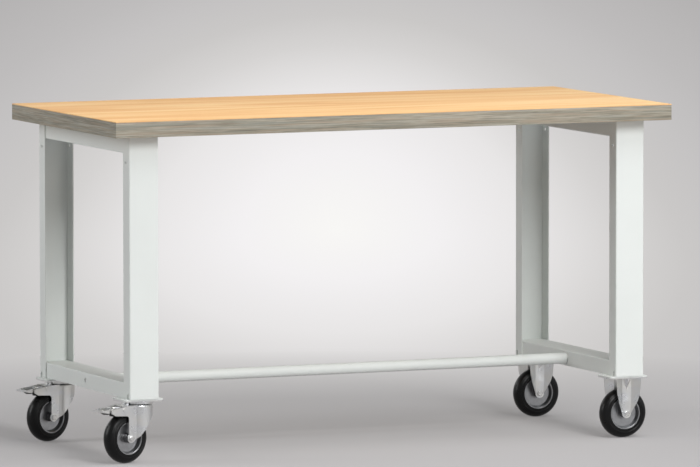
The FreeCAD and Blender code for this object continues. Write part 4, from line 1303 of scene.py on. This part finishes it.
@dataclass
class Studio:
    """Floor, soft lamps, pale surroundings and the camera.

    The camera's lens and sensor are in millimetres, as the camera takes them.
    """

    aim: Triple = (41.971 * MM, 0.0, 517.281 * MM)
    distance: float = 20278.913 * MM
    yaw: float = 0.410682415
    pitch: float = 0.087703847
    roll: float = -0.001110433
    lens: float = 415.02
    sensor: float = 36.0
    sight_reach: float = 400.0
    floor_reach: float = 90.0
    floor_rings: int = 24
    floor_spokes: int = 64
    sky: Colour = tone(236, 237, 238)
    dim_world: float = 0.09
    seen_world: float = 0.5
    lamps: Tuple[Lamp, ...] = (
        Lamp("top", (0.6, -1.4, 3.8), (0.0, 0.0, 0.6), (3.4, 2.6), 90.0),
        Lamp("front", (0.5, -7.0, 4.4), (0.0, 0.0, 0.5), (2.0, 2.8), 362.0),
        Lamp("low", (4.2, -5.2, 1.3), (0.0, 0.0, 0.4), (6.0, 1.3), 60.0),
        Lamp("side", (-4.4, 1.0, 2.1), (0.0, 0.0, 0.4), (1.8, 2.4), 72.0),
        Lamp("back", (-1.7, 4.4, 1.8), (0.0, 0.0, 0.3), (2.2, 0.9), 24.0))

    def build(self) -> None:
        """Set everything up round the table."""
        self.floor()
        self.surroundings()
        for lamp in self.lamps:
            lamp.hang()
        self.camera()
        bpy.context.scene.view_settings.view_transform = "Standard"

    def floor(self) -> None:
        """Lay a round floor: rings whose radius grows as a square, so that they are fine inside."""
        ring = self.floor_reach * np.linspace(0.0, 1.0, self.floor_rings)[:, None] ** 2
        angle = full_turn(self.floor_spokes)
        points = np.stack([ring * np.cos(angle), ring * np.sin(angle),
                           np.zeros((self.floor_rings, self.floor_spokes))], -1)
        mesh = bpy.data.meshes.new("studio_floor")
        mesh.from_pydata(points.reshape(-1, 3), [], Sheet(points).faces(0))
        mesh.materials.append(StudioFloor("studio_floor").material())
        floor = bpy.data.objects.new("studio_floor", mesh)
        bpy.context.scene.collection.objects.link(floor)

    def surroundings(self) -> None:
        """Light everything evenly from a soft grey; camera, gloss and glass see a paler one."""
        world = bpy.data.worlds.new("studio_world")
        world.use_nodes = True
        nodes, links = world.node_tree.nodes, world.node_tree.links
        background = nodes["Background"]
        background.inputs["Color"].default_value = self.sky
        path = nodes.new("ShaderNodeLightPath")
        seen = path.outputs["Is Camera Ray"]
        for ray in ("Is Glossy Ray", "Is Transmission Ray"):
            either = nodes.new("ShaderNodeMath")
            either.operation = "MAXIMUM"
            links.new(seen, either.inputs[0])
            links.new(path.outputs[ray], either.inputs[1])
            seen = either.outputs[0]
        strength = nodes.new("ShaderNodeMapRange")
        strength.inputs["To Min"].default_value = self.dim_world
        strength.inputs["To Max"].default_value = self.seen_world
        links.new(seen, strength.inputs["Value"])
        links.new(strength.outputs[0], background.inputs["Strength"])
        bpy.context.scene.world = world

    def camera(self) -> None:
        """Stand the camera at its distance behind the aim, along its line of sight."""
        sight = Vector((math.sin(self.yaw) * math.cos(self.pitch),
                        math.cos(self.yaw) * math.cos(self.pitch), -math.sin(self.pitch)))
        data = bpy.data.cameras.new("camera")
        data.sensor_fit = "HORIZONTAL"
        data.sensor_width = self.sensor
        data.lens = self.lens
        data.clip_end = self.sight_reach
        camera = bpy.data.objects.new("camera", data)
        camera.location = Vector(self.aim) - sight * self.distance
        turn = sight.to_track_quat("-Z", "Y") @ Quaternion((0.0, 0.0, 1.0), self.roll)
        camera.rotation_euler = turn.to_euler()
        bpy.context.scene.collection.objects.link(camera)
        bpy.context.scene.camera = camera


def main() -> None:
    """Build the table's sub-assemblies in order, then the studio."""
    logging.basicConfig(level=logging.INFO, format="%(name)s: %(message)s")
    Worktop().build()
    SideFrames().build()
    dress_node("swivel_balls", PlainSteel("ball_steel", roughness=(0.08, 0.22)))
    dress_node("king_pins", ZincPlate("castor_zinc"))
    for corner in Corner:
        castor = SwivelCastor(corner) if corner.swivels else FixedCastor(corner)
        castor.build()
    Studio().build()


if __name__ == "__main__":
    main()
